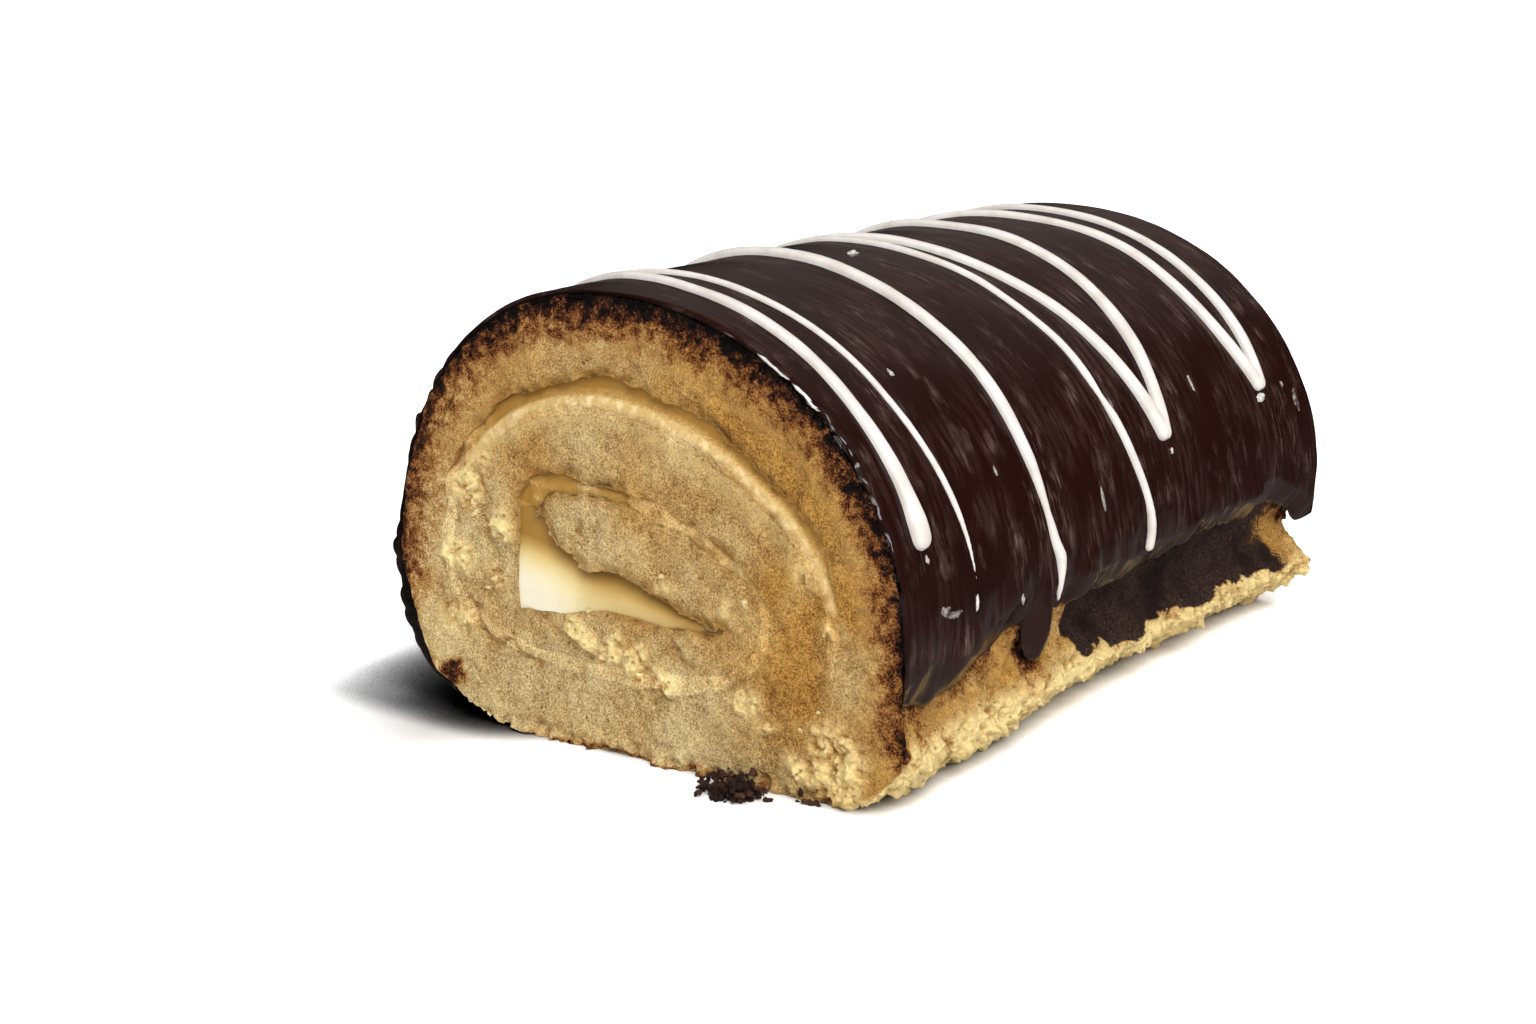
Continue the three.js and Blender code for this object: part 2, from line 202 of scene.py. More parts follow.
class Noise:
    """Repeatable noise that is worked out for whole arrays of points at once."""

    @staticmethod
    def lattice(cell: Array, seed: int) -> Array:
        """Random values from 0 to 1 that belong to whole-number cells.

        Args:
            cell: Cell numbers, three to a row.
            seed: Picks one of many fields of values.

        Returns:
            One value for each row.
        """
        c = (cell.astype(np.int64) & 0xFFFFFFFF).astype(np.uint32)
        mixed = c[..., 0] * np.uint32(0x8DA6B343) ^ c[..., 1] * np.uint32(0xD8163841)
        mixed ^= c[..., 2] * np.uint32(0xCB1AB31F) ^ np.uint32((seed * 0x9E3779B1) & 0xFFFFFFFF)
        for shift, factor in ((15, 0x2C1B3C6D), (12, 0x297A2D39)):
            mixed ^= mixed >> np.uint32(shift)
            mixed *= np.uint32(factor)
        mixed ^= mixed >> np.uint32(15)
        return mixed.astype(np.float64) / 2.0 ** 32

    @classmethod
    def smooth(cls, points: Array, seed: int) -> Array:
        """Soft noise from -1 to 1 with features about one unit across.

        Args:
            points: Points, three numbers to a row.
            seed: Picks the field.

        Returns:
            One value for each point.
        """
        base = np.floor(points)
        t = points - base
        t = t * t * t * (t * (t * 6.0 - 15.0) + 10.0)
        total = np.zeros(len(points))
        for corner in np.ndindex(2, 2, 2):
            step = np.array(corner)
            weight = np.prod(np.where(step == 1, t, 1.0 - t), axis=1)
            total += weight * cls.lattice(base + step, seed)
        return total * 2.0 - 1.0

    @classmethod
    def rough(cls, points: Array, size: float, seed: int, layers: int = 3) -> Array:
        """Layered noise from about -1 to 1.

        Args:
            points: Points, three numbers to a row.
            size: Size of the largest features.
            seed: Picks the field.
            layers: Number of layers, each half as large and half as strong.

        Returns:
            One value for each point.
        """
        total = np.zeros(len(points))
        strength, whole = 1.0, 0.0
        for layer in range(layers):
            total += strength * cls.smooth(points * 2.0 ** layer / size, seed + 17 * layer)
            whole += strength
            strength *= 0.5
        return total / whole * 1.6

    @classmethod
    def vector(cls, points: Array, size: float, seed: int, count: int = 3, layers: int = 3) -> Array:
        """Rough noise with several numbers to a row, from neighbouring fields."""
        return np.stack([cls.rough(points, size, seed + k, layers) for k in range(count)], axis=1)

    @classmethod
    def cells(cls, points: Array, size: float, seed: int) -> tuple[Array, Array, Array]:
        """Irregular cells, as crumbs and pores have.

        Args:
            points: Points, three numbers to a row.
            size: Size of the cells.
            seed: Picks the field.

        Returns:
            Distance to the nearest cell's middle and to the next nearest, as shares of the
            size, and a random value that belongs to the nearest cell.
        """
        scaled = points / size
        base = np.floor(scaled)
        first = np.full(len(points), 9.0)
        second = first.copy()
        owner = np.zeros(len(points))
        for corner in np.ndindex(3, 3, 3):
            cell = base + np.array(corner) - 1.0
            middle = cell + np.stack([cls.lattice(cell, seed + k) for k in range(3)], axis=1)
            away = np.linalg.norm(scaled - middle, axis=1)
            nearer = away < first
            second = np.where(nearer, first, np.minimum(second, away))
            owner = np.where(nearer, cls.lattice(cell, seed + 3), owner)
            first = np.where(nearer, away, first)
        return first, second, owner


# ------------------------------------------------------------------------ mesh making
class Net:
    """Triangle nets over flat regions, and the shells put together from them."""

    @staticmethod
    def graded(low: Array, high: Array, finest: float, spacing: Callable[[Array], Array],
               seed: int) -> Array:
        """Scattered points whose spacing follows a function of place.

        Args:
            low: Lower corner of a flat box.
            high: Upper corner of the box.
            finest: Smallest spacing.
            spacing: Gives the wanted spacing at each point.
            seed: Picks the random shifts.

        Returns:
            Flat points, one to a row.
        """
        random = np.random.default_rng(seed)
        found, levels = [], 5
        for level in range(levels):
            step = finest * 2.0 ** level
            axes = [np.arange(a + step / 2.0, b, step) for a, b in zip(low, high)]
            grid = np.stack(np.meshgrid(*axes, indexing="ij"), axis=-1).reshape(-1, 2)
            grid += random.uniform(-0.3, 0.3, grid.shape) * step
            wanted = np.floor(np.log2(np.maximum(spacing(grid), finest) / finest))
            found.append(grid[np.clip(wanted, 0, levels - 1) == level])
        return np.vstack(found)

    @staticmethod
    def fill(loops: list[Array], points: Array,
             keep: Callable[[Array], Array]) -> tuple[Array, Array]:
        """Joins closed loops and loose points to one triangle net.

        Args:
            loops: Closed loops whose sides stay sides of the net.
            points: Points inside the region.
            keep: Tells which triangle middles belong to the region.

        Returns:
            The net's points and its triangles.
        """
        every = [Vector(p) for loop in loops for p in loop] + [Vector(p) for p in points]
        sides, start = [], 0
        for loop in loops:
            count = len(loop)
            sides += [(start + i, start + (i + 1) % count) for i in range(count)]
            start += count
        made = delaunay_2d_cdt(every, sides, [], 0, 1e-6, False)
        flat = np.array([tuple(p) for p in made[0]])
        faces = np.array([f for f in made[2] if len(f) == 3])
        return flat, faces[keep(flat[faces].mean(axis=1))]

    @classmethod
    def patch(cls, loops: list[Array], step: float, margin: float, seed: int) -> tuple[Array, Array]:
        """Even net inside the first of some loops and outside the others.

        Args:
            loops: Closed loops.
            step: Spacing of the loose points.
            margin: Distance that they keep from the loops.
            seed: Picks the random shifts.

        Returns:
            Flat points and triangles.
        """
        def within(places: Array) -> Array:
            """Whether places lie in the region.

            Args:
                places: Flat points, one to a row.

            Returns:
                True for each point in it.
            """
            found = inside(places, loops[0])
            for hole in loops[1:]:
                found &= ~inside(places, hole)
            return found

        low, high = loops[0].min(axis=0), loops[0].max(axis=0)
        loose = cls.graded(low, high, step, lambda flat: np.full(len(flat), step), seed)
        loose = loose[within(loose)]
        away, _ = nearest(loose, np.vstack(loops))
        return cls.fill(loops, loose[away > margin], within)

    @staticmethod
    def outline(faces: Array) -> Array:
        """Longest closed row of open sides of a net.

        Args:
            faces: Triangles.

        Returns:
            Vertex numbers in order.
        """
        sides = np.vstack([faces[:, [0, 1]], faces[:, [1, 2]], faces[:, [2, 0]]])
        there = set(map(tuple, sides))
        after = {a: b for a, b in there if (b, a) not in there}
        best: list[int] = []
        while after:
            first, current = next(iter(after.items()))
            row = [first]
            del after[first]
            while current != first and current in after:
                row.append(current)
                current = after.pop(current)
            best = max(best, row, key=len)
        return np.array(best)

    @classmethod
    def wall(cls, along: Array, length: float, finest: float,
             spacing: Callable[[Array], Array], seed: int) -> tuple[Array, Array]:
        """Net of a closed wall rolled out flat: distance round the loop by distance along Y.

        Args:
            along: Places of the loop's corners, with the whole way round as the last.
            length: Length of the wall along Y.
            finest: Smallest spacing.
            spacing: Gives the wanted spacing at each flat point.
            seed: Picks the random shifts.

        Returns:
            The flat points and the triangles.
        """
        rises = [0.0]
        while rises[-1] < length / 2.0:
            step = float(spacing(np.array([[along[0], rises[-1]]]))[0])
            rises.append(rises[-1] + max(step, finest))
        half = np.array(rises) * (length / 2.0 / rises[-1])
        seam = np.concatenate([half, length - half[-2::-1]])
        loop = np.vstack([
            np.stack([along, np.zeros(len(along))], axis=1),
            np.stack([np.full(len(seam) - 2, along[-1]), seam[1:-1]], axis=1),
            np.stack([along[::-1], np.full(len(along), length)], axis=1),
            np.stack([np.full(len(seam) - 2, along[0]), seam[-2:0:-1]], axis=1),
        ])
        low, high = np.array([along[0], 0.0]), np.array([along[-1], length])
        loose = cls.graded(low, high, finest, spacing, seed)
        margin = 0.45 * np.maximum(spacing(loose), finest)[:, None]
        clear = ((loose > low + margin) & (loose < high - margin)).all(axis=1)
        return cls.fill([loop], loose[clear], lambda middles: np.ones(len(middles), dtype=bool))


@dataclass
class Shell:
    """Points and faces of one piece while it is put together."""

    points: list[Array] = field(default_factory=list)
    faces: list[Array] = field(default_factory=list)
    total: int = 0

    def add(self, points: Array, faces: Array, turned: bool = False) -> None:
        """Adds a net, with its faces turned over if asked.

        Args:
            points: Points in space, one to a row.
            faces: Triangles or quads of those points.
            turned: Whether to reverse the faces.
        """
        self.points.append(points)
        self.faces.append((faces[:, ::-1] if turned else faces) + self.total)
        self.total += len(points)

    def merged(self) -> tuple[Array, Array]:
        """Joins points that lie in the same place.

        Returns:
            The points and the triangles, facing out.
        """
        points, faces = np.vstack(self.points), np.vstack(self.faces)
        _, first, back = np.unique(np.round(points, 4), axis=0, return_index=True, return_inverse=True)
        faces = back.reshape(-1)[faces]
        a, b, c = faces.T
        return points[first], faces[(a != b) & (b != c) & (a != c)]


def normals_of(points: Array, faces: Array) -> Array:
    """Smooth normals of a triangle net.

    Args:
        points: Points in space.
        faces: Triangles.

    Returns:
        Unit normals, one for each point.
    """
    a, b, c = (points[faces[:, i]] for i in range(3))
    flat = np.cross(b - a, c - a)
    total = np.zeros_like(points)
    for i in range(3):
        np.add.at(total, faces[:, i], flat)
    return total / np.maximum(np.linalg.norm(total, axis=1), 1e-12)[:, None]


def make_object(name: str, points: Array, faces: Array, masks: dict[str, Array]) -> bpy.types.Object:
    """Makes a smooth mesh object from millimetre points.

    Args:
        name: Name of the piece.
        points: Points in millimetres.
        faces: Triangles or quads.
        masks: Values that the finish reads, one for each point: single numbers or triples.

    Returns:
        The new object, in the scene.
    """
    mesh = bpy.data.meshes.new(name)
    mesh.from_pydata((points * MM).tolist(), [], faces.tolist())
    for label, values in masks.items():
        kind, slot = ("FLOAT_VECTOR", "vector") if values.ndim == 2 else ("FLOAT", "value")
        layer = mesh.attributes.new(label, kind, "POINT")
        layer.data.foreach_set(slot, values.astype(np.float32).ravel())
    mesh.shade_smooth()
    mesh.set_sharp_from_angle(angle=math.radians(SHARP_DEGREES))
    made = bpy.data.objects.new(name, mesh)
    bpy.context.collection.objects.link(made)
    return made


# ------------------------------------------------------------------------ shared sections
@dataclass(frozen=True)
class Wave:
    """One smooth wave or drip of a lower edge: its place, half width, rise and bluntness."""

    at: float
    half: float
    rise: float
    power: float = 1.0


@dataclass(frozen=True)
class RollSection:
    """Section of the coated roll: four superellipse quarters between its extreme points."""

    length: float
    left_x: float
    right_x: float
    crest_z: float
    crest_x: float = -5.0
    waist_z: float = 22.0
    base_left_x: float = -14.0
    base_right_x: float = 29.0
    roundness: float = 2.1
    roundness_lower_left: float = 2.22
    roundness_underside: float = 2.3
    swell: float = 1.5
    flank_depth_right: float = 34.0
    flank_depth_left: float = 24.4
    thick: float = 2.62
    thin: float = 1.35
    rim: float = 0.7
    flare: float = 2.2
    seam: float = 0.08

    def from_cut(self, distance: Array) -> Array:
        """Distances from the nearer cut face, from distances from the front one."""
        return np.minimum(distance, self.length - distance)

    def thickness(self, angle: Array, distance: Array) -> Array:
        """Thickness of the coat: thin down the left side and at the cuts, thick where it curls under.

        Args:
            angle: Angles from the crest.
            distance: Distances from the front.

        Returns:
            One thickness for each place.
        """
        left = np.degrees(-np.asarray(angle))
        full = self.thick + (self.thin - self.thick) * smoothstep(20.0, 75.0, left)
        full = full + self.swell * smoothstep(90.0, 99.0, left)
        rim = np.where(left > 90.0, full, self.rim)
        return full + (rim - full) * np.clip(1.0 - self.from_cut(distance) / self.flare, 0.0, 1.0)

    @classmethod
    def from_frame(cls) -> "RollSection":
        """Takes the roll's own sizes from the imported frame."""
        low, high = (np.array(corner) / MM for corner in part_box("chocolate_coat"))
        return cls(length=high[1] - low[1], left_x=low[0], right_x=high[0], crest_z=high[2])

    @property
    def front_y(self) -> float:
        """Y of the cut face that looks towards -Y."""
        return -self.length / 2.0

    def quarter(self, centre: tuple[float, float], reach: tuple[float, float], angle: Array) -> Array:
        """Points of a superellipse quarter, from its level end to its upright end.

        Args:
            centre: X and Z of the quarter's centre.
            reach: Signed reach in X and in Z.
            angle: Angles from 0 to a right angle.

        Returns:
            Flat points, X and Z to a row.
        """
        power = 2.0 / self.roundness_underside
        across, up = np.abs(np.sin(angle)) ** power, np.abs(np.cos(angle)) ** power
        return np.stack([centre[0] + reach[0] * across, centre[1] + reach[1] * up], axis=-1)

    def point(self, angle: Array, inset: Array) -> Array:
        """Points of the coated outline, moved in by an inset.

        Args:
            angle: Angles from the crest, positive to the right, past a right angle below the waist.
            inset: Distance inside the outline.

        Returns:
            Flat points, X and Z to a row.
        """
        right, above = angle >= 0.0, np.abs(angle) <= np.pi / 2.0
        power = 2.0 / np.where(right | above, self.roundness, self.roundness_lower_left)
        base_x = np.where(right, self.base_right_x, self.base_left_x)
        depth = np.where(right, self.flank_depth_right, self.flank_depth_left)
        centre_x = np.where(above, self.crest_x, base_x)
        side = np.where(right, self.right_x - inset, self.left_x + inset)
        reach_z = np.where(above, self.crest_z - inset - self.waist_z, -depth)
        x = centre_x + (side - centre_x) * np.abs(np.sin(angle)) ** power
        z = self.waist_z + reach_z * np.abs(np.cos(angle)) ** power
        return np.stack([x, z], axis=-1)

    def angle_at(self, height: Array, right: bool) -> Array:
        """Angle from the crest at which the outline is at a height, without sign.

        Args:
            height: Heights above the floor.
            right: Whether the right flank is meant.

        Returns:
            One angle for each height.
        """
        depth = self.flank_depth_right if right else self.flank_depth_left
        below = height < self.waist_z
        reach = np.where(below, depth, self.crest_z - self.waist_z)
        roundness = np.where(below & (not right), self.roundness_lower_left, self.roundness)
        share = (np.abs(height - self.waist_z) / reach) ** (roundness / 2.0)
        return np.pi / 2.0 + np.where(below, 1.0, -1.0) * np.arcsin(np.clip(share, 0.0, 1.0))

    def edge_height(self, base: float, waves: tuple[Wave, ...], distance: Array) -> Array:
        """Height of a lower edge along the roll.

        Args:
            base: Plain height of the edge.
            waves: Waves and drips on it.
            distance: Distances from the front.

        Returns:
            One height for each distance.
        """
        total = np.full(np.shape(distance), base, dtype=float)
        for wave in waves:
            total += wave.rise * bump(distance - wave.at, wave.half) ** wave.power
        return total


@dataclass(frozen=True)
class SpongeOutline:
    """Outline of the sponge: the coat's section moved in, with a necked flank over a foot."""

    section: RollSection
    flanks: tuple = (  # distance from the front, then X and Z down the flank from the waist
        (0.0, 44.0, 14.2, 44.4, 8.6, 40.6, 3.6, 33.5, 0.0),
        (4.0, 41.8, 13.4, 43.4, 8.0, 41.4, 3.6, 35.5, 0.0),
        (33.0, 41.0, 13.4, 42.6, 8.4, 41.2, 3.8, 36.0, 0.0),
        (54.0, 38.6, 14.0, 41.6, 9.6, 40.6, 6.6, 31.0, 0.0),
        (114.0, 38.2, 14.0, 41.2, 9.4, 40.4, 6.4, 31.5, 0.0),
        (128.0, 38.6, 15.0, 43.0, 9.8, 43.8, 7.6, 34.0, 0.0),
    )
    foot_wave: float = 0.25
    foot_wave_lengths: tuple[float, float] = (29.0, 17.0)
    flank_steps: int = 60
    right_steps: int = 150
    left_steps: int = 134
    under_steps: int = 80
    base_steps: int = 96

    def at(self, distance: float) -> Array:
        """Outline at a distance from the front cut face, anticlockwise seen from the front.

        Args:
            distance: Distance from the front cut face.

        Returns:
            Flat corners in order, from the right end of the base.
        """
        cut = self.section
        right_angle = np.pi / 2.0
        waist = cut.right_x - float(cut.thickness(right_angle, distance)) - cut.seam
        table = np.array(self.flanks)
        row = [np.interp(distance, table[:, 0], column) for column in table[:, 1:].T]
        flank = np.vstack([[waist, cut.waist_z], np.reshape(row, (4, 2))])
        wander = sum(math.sin(distance * 2.0 * math.pi / wave) for wave in self.foot_wave_lengths)
        flank[2:4, 0] += self.foot_wave * wander
        rows = [spline(flank, self.flank_steps)[::-1]]
        over = np.linspace(right_angle, -right_angle, self.right_steps + self.left_steps + 1)[1:]
        rows.append(cut.point(over, cut.thickness(over, distance) + cut.seam))
        left = cut.left_x + float(cut.thickness(-right_angle, distance)) + cut.seam
        turn = np.linspace(0.0, right_angle, self.under_steps + 1)[1:]
        centre, reach = (cut.base_left_x, cut.waist_z), (left - cut.base_left_x, -cut.waist_z)
        under = cut.quarter(centre, reach, right_angle - turn)
        beside = cut.point(-right_angle - turn, cut.thickness(-right_angle - turn, distance) + cut.seam)
        under += (beside - under) * smoothstep(math.radians(50.0), math.radians(25.0), turn)[:, None]
        rows.append(under)
        share = np.linspace(0.0, 1.0, self.base_steps + 1)[1:-1, None]
        rows.append(under[-1] + (rows[0][0] - under[-1]) * share)
        return np.vstack(rows)


@dataclass(frozen=True)
class Turn:
    """Place where the cream spiral runs level or upright.

    recess is how far the cream sits back there, groove how much further it sinks towards its
    outer side, and crumbed how much torn crumb covers it.
    """

    x: float
    z: float
    half: float
    roundness: float
    recess: float
    groove: float
    crumbed: float = 0.0


@dataclass(frozen=True)
class Wedge:
    """One station of the wedge-shaped cream pocket: its middle and half its height."""

    x: float
    z: float
    half: float


@dataclass(frozen=True)
class CreamPath:
    """Way of the cream through the section, from the pocket outwards."""

    turns: tuple[Turn, ...] = (
        Turn(-9.0, 22.6, 1.6, 2.2, 2.6, 0.6),
        Turn(-20.0, 30.0, 1.2, 3.6, 1.1, 0.3, 0.5),
        Turn(-6.0, 37.7, 1.1, 1.6, 0.9, 0.3, 0.5),
        Turn(22.7, 24.5, 0.6, 2.5, 0.7, 0.2, 0.8),
        Turn(-2.0, 11.8, 0.9, 3.0, 0.4, 0.2, 1.0),
        Turn(-34.2, 27.0, 0.9, 2.1, 0.5, 0.5, 1.0),
        Turn(-5.0, 50.8, 2.6, 1.7, 0.15, 1.35),
        Turn(33.4, 26.0, 1.2, 2.0, 0.3, 0.4, 0.75),
        Turn(33.0, 17.5, 0.5, 2.0, 0.3, 0.1, 1.0),
    )
    pocket: tuple[Wedge, ...] = (
        Wedge(15.3, 21.2, 0.5), Wedge(5.0, 21.8, 1.8), Wedge(-5.0, 23.4, 2.6), Wedge(-11.0, 23.3, 3.9),
        Wedge(-15.5, 24.2, 5.5), Wedge(-18.5, 25.2, 6.5), Wedge(-21.0, 25.2, 6.7),
    )
    notch: tuple[float, float, float] = (-33.0, 39.5, 4.0)
    shade_places: tuple[float, ...] = (-20.0, -14.0, -8.0, -2.0, 4.0, 10.0)
    shades: tuple = (  # shade at the bottom of the pocket, and heights where it starts and is full
        (0.0, 0.06, 0.4, 0.55, 0.6, 0.65), (22.0, 20.5, 20.5, 21.0, 20.5, 19.2),
        (29.5, 27.0, 25.6, 24.5, 22.8, 21.5),
    )
    quarter_steps: int = 40
    tail_steps: int = 16
    grow: float = 0.15
    corner_step: float = 0.45
    ragged: float = 0.8

    def centres(self) -> Array:
        """Middle of the spiral's band.

        Returns:
            X, Z, half thickness, recess, groove and crumbed to a row.
        """
        rows = []
        for i, (start, end) in enumerate(zip(self.turns[:-2], self.turns[1:-1])):
            level_first = i % 2 == 0
            centre = (start.x, end.z) if level_first else (end.x, start.z)
            reach_x = end.x - start.x if level_first else start.x - end.x
            reach_z = start.z - end.z if level_first else end.z - start.z
            share = np.arange(self.quarter_steps) / self.quarter_steps
            angle = (share if level_first else 1.0 - share) * np.pi / 2.0
            power = 2.0 / start.roundness
            x = centre[0] + reach_x * np.abs(np.sin(angle)) ** power
            z = centre[1] + reach_z * np.abs(np.cos(angle)) ** power
            ends = [(t.half, t.recess, t.groove, t.crumbed) for t in (start, end)]
            blends = [a + (b - a) * share for a, b in zip(*ends)]
            rows.append(np.stack([x, z, *blends], axis=1))
        tail = [np.array([[t.x, t.z, t.half, t.recess, t.groove, t.crumbed]]) for t in self.turns[-2:]]
        share = np.linspace(0.0, 1.0, self.tail_steps)[:, None]
        rows.append(tail[0] + (tail[1] - tail[0]) * share)
        return np.vstack(rows)

    def beside(self, flat: Array) -> tuple[Array, Array]:
        """Place beside the band's middle.

        Args:
            flat: X and Z to a row.

        Returns:
            Nearest row of the band's middle, and how far outward the place lies from there.
        """
        rows = self.centres()
        _, index = nearest(flat, rows[:, :2])
        along = unit(np.gradient(rows[:, :2], axis=0))
        offset = flat - rows[index, :2]
        return rows[index], along[index, 0] * offset[:, 1] - along[index, 1] * offset[:, 0]

    def smeared(self, flat: Array, from_slot: Array) -> Array:
        """Share of cream rubbed over the crumb on the inner side of the thick outer band.

        Args:
            flat: X and Z to a row.
            from_slot: Distance of each place from the slot.

        Returns:
            One share for each place.
        """
        rows, outward = self.beside(flat)
        band = smoothstep(1.1, 1.9, rows[:, 2]) * (1.0 - smoothstep(0.4, 0.8, rows[:, 5]))
        reach = 1.2 + 2.0 * smoothstep(-4.0, 14.0, flat[:, 0])
        return 0.9 * band * (outward < 0.0) * np.exp(-((from_slot / reach) ** 2))

    def state(self, flat: Array) -> tuple[Array, Array, Array, Array]:
        """How the cream lies at places of a cut face.

        Args:
            flat: X and Z to a row.

        Returns:
            Depth behind the face, share of torn crumb on it, whether it is in the pocket, and how
            dark its painted shade is.
        """
        rows, outward = self.beside(flat)
        across = outward / np.maximum(rows[:, 2], 0.3)
        x, z = flat[:, 0], flat[:, 1]
        depth = rows[:, 3] + rows[:, 4] * smoothstep(-0.1, 0.5, across)
        patches = 0.25 * Noise.rough(in_space(flat, 0.0), 4.0, 613) * (rows[:, 5] > 0.0)
        crumbed = smoothstep(0.45, 0.8, rows[:, 5] + patches)
        smooth_band = smoothstep(1.5, 2.2, rows[:, 2]) * (1.0 - crumbed)
        depth = (depth - 0.4 * smooth_band * bump(across + 0.4, 0.8)) * (1.0 - crumbed)
        depth = depth * (1.0 - smooth_band * smoothstep(-0.4, -0.9, across))
        rubbed = smooth_band * (0.25 + 0.75 * smoothstep(-0.1, -0.95, across)) * (across < 0.5)
        crumbed = np.maximum(crumbed, rubbed)
        notch_x, notch_z, notch_reach = self.notch
        depth = depth + 1.6 * bump(np.hypot(x - notch_x, z - notch_z), notch_reach)
        crumbed = np.maximum(crumbed, 0.75 * smoothstep(0.1, -1.1, across) * smoothstep(8.0, 22.0, x))
        wedge = np.array([(w.x, w.z, w.half) for w in self.pocket])[::-1]
        middle, half = (np.interp(x, wedge[:, 0], wedge[:, i]) for i in (1, 2))
        up = np.clip((z - middle) / half * 0.5 + 0.5, -0.5, 1.5)
        pocket = ((up > -0.15) & (up < 1.15) & (x < 15.8) & (x > -21.6)).astype(float)
        flush = 0.3 + 0.7 * smoothstep(-13.0, 2.0, x)
        sunk = 2.6 * smoothstep(0.25, 0.95, up) * (1.0 - 0.5 * smoothstep(-12.0, 0.0, x))
        scoop = flush + sunk * (0.3 + 0.7 * smoothstep(-21.0, -14.0, x))
        base, low, top = (np.interp(x, self.shade_places, row) for row in self.shades)
        shade = base + (1.0 - base) * np.clip((z - low) / (top - low), 0.0, 1.0) ** 1.6
        return (np.where(pocket > 0.5, scoop, depth), crumbed * (1.0 - pocket), pocket,
                np.where(pocket > 0.5, shade, depth / 4.0))

    def ribbon(self, rows: Array) -> Array:
        """Closed outline of a ribbon of uneven thickness.

        Args:
            rows: X, Z and half thickness to a row.

        Returns:
            Corners in order.
        """
        along = unit(np.gradient(rows[:, :2], axis=0))
        across = np.stack([-along[:, 1], along[:, 0]], axis=1) * (rows[:, 2] + self.grow)[:, None]
        middle = rows[:, :2].copy()
        middle[0] -= along[0] * self.grow
        middle[-1] += along[-1] * self.grow
        return np.vstack([middle - across, (middle + across)[::-1]])

    def slot(self) -> Array:
        """Closed loop round spiral and pocket together.

        Returns:
            Its corners, evenly spaced and anticlockwise.
        """
        band = self.ribbon(self.centres())
        wedge = self.ribbon(np.array([(w.x, w.z, w.half) for w in self.pocket]))
        flat, faces = Net.fill([band, wedge], np.empty((0, 2)),
                               lambda middles: inside(middles, band) | inside(middles, wedge))
        loop = flat[Net.outline(faces)]
        area = np.sum(loop[:, 0] * np.roll(loop[:, 1], -1) - np.roll(loop[:, 0], -1) * loop[:, 1])
        loop = resampled(loop if area > 0 else loop[::-1], self.corner_step)
        rows, outward = self.beside(loop)
        _, _, pocket, _ = self.state(loop)
        upper = np.interp(loop[:, 0], [-21.0, 5.0], [25.0, 21.5])
        clean = pocket * ((loop[:, 0] < -19.5) | (loop[:, 1] < upper))
        amount = np.where(pocket > 0.5, 1.5 * self.ragged, np.minimum(self.ragged, 0.6 * rows[:, 2]))
        amount = np.where(clean > 0.5, 0.2, amount) * np.where((outward < 0.0) & (rows[:, 2] > 1.6), 0.3, 1.0)
        side = np.roll(loop, -1, axis=0) - np.roll(loop, 1, axis=0)
        normal = unit(np.stack([side[:, 1], -side[:, 0]], axis=1))
        return loop + normal * (amount * Noise.rough(in_space(loop, 0.0), 4.4, 611, 4))[:, None]


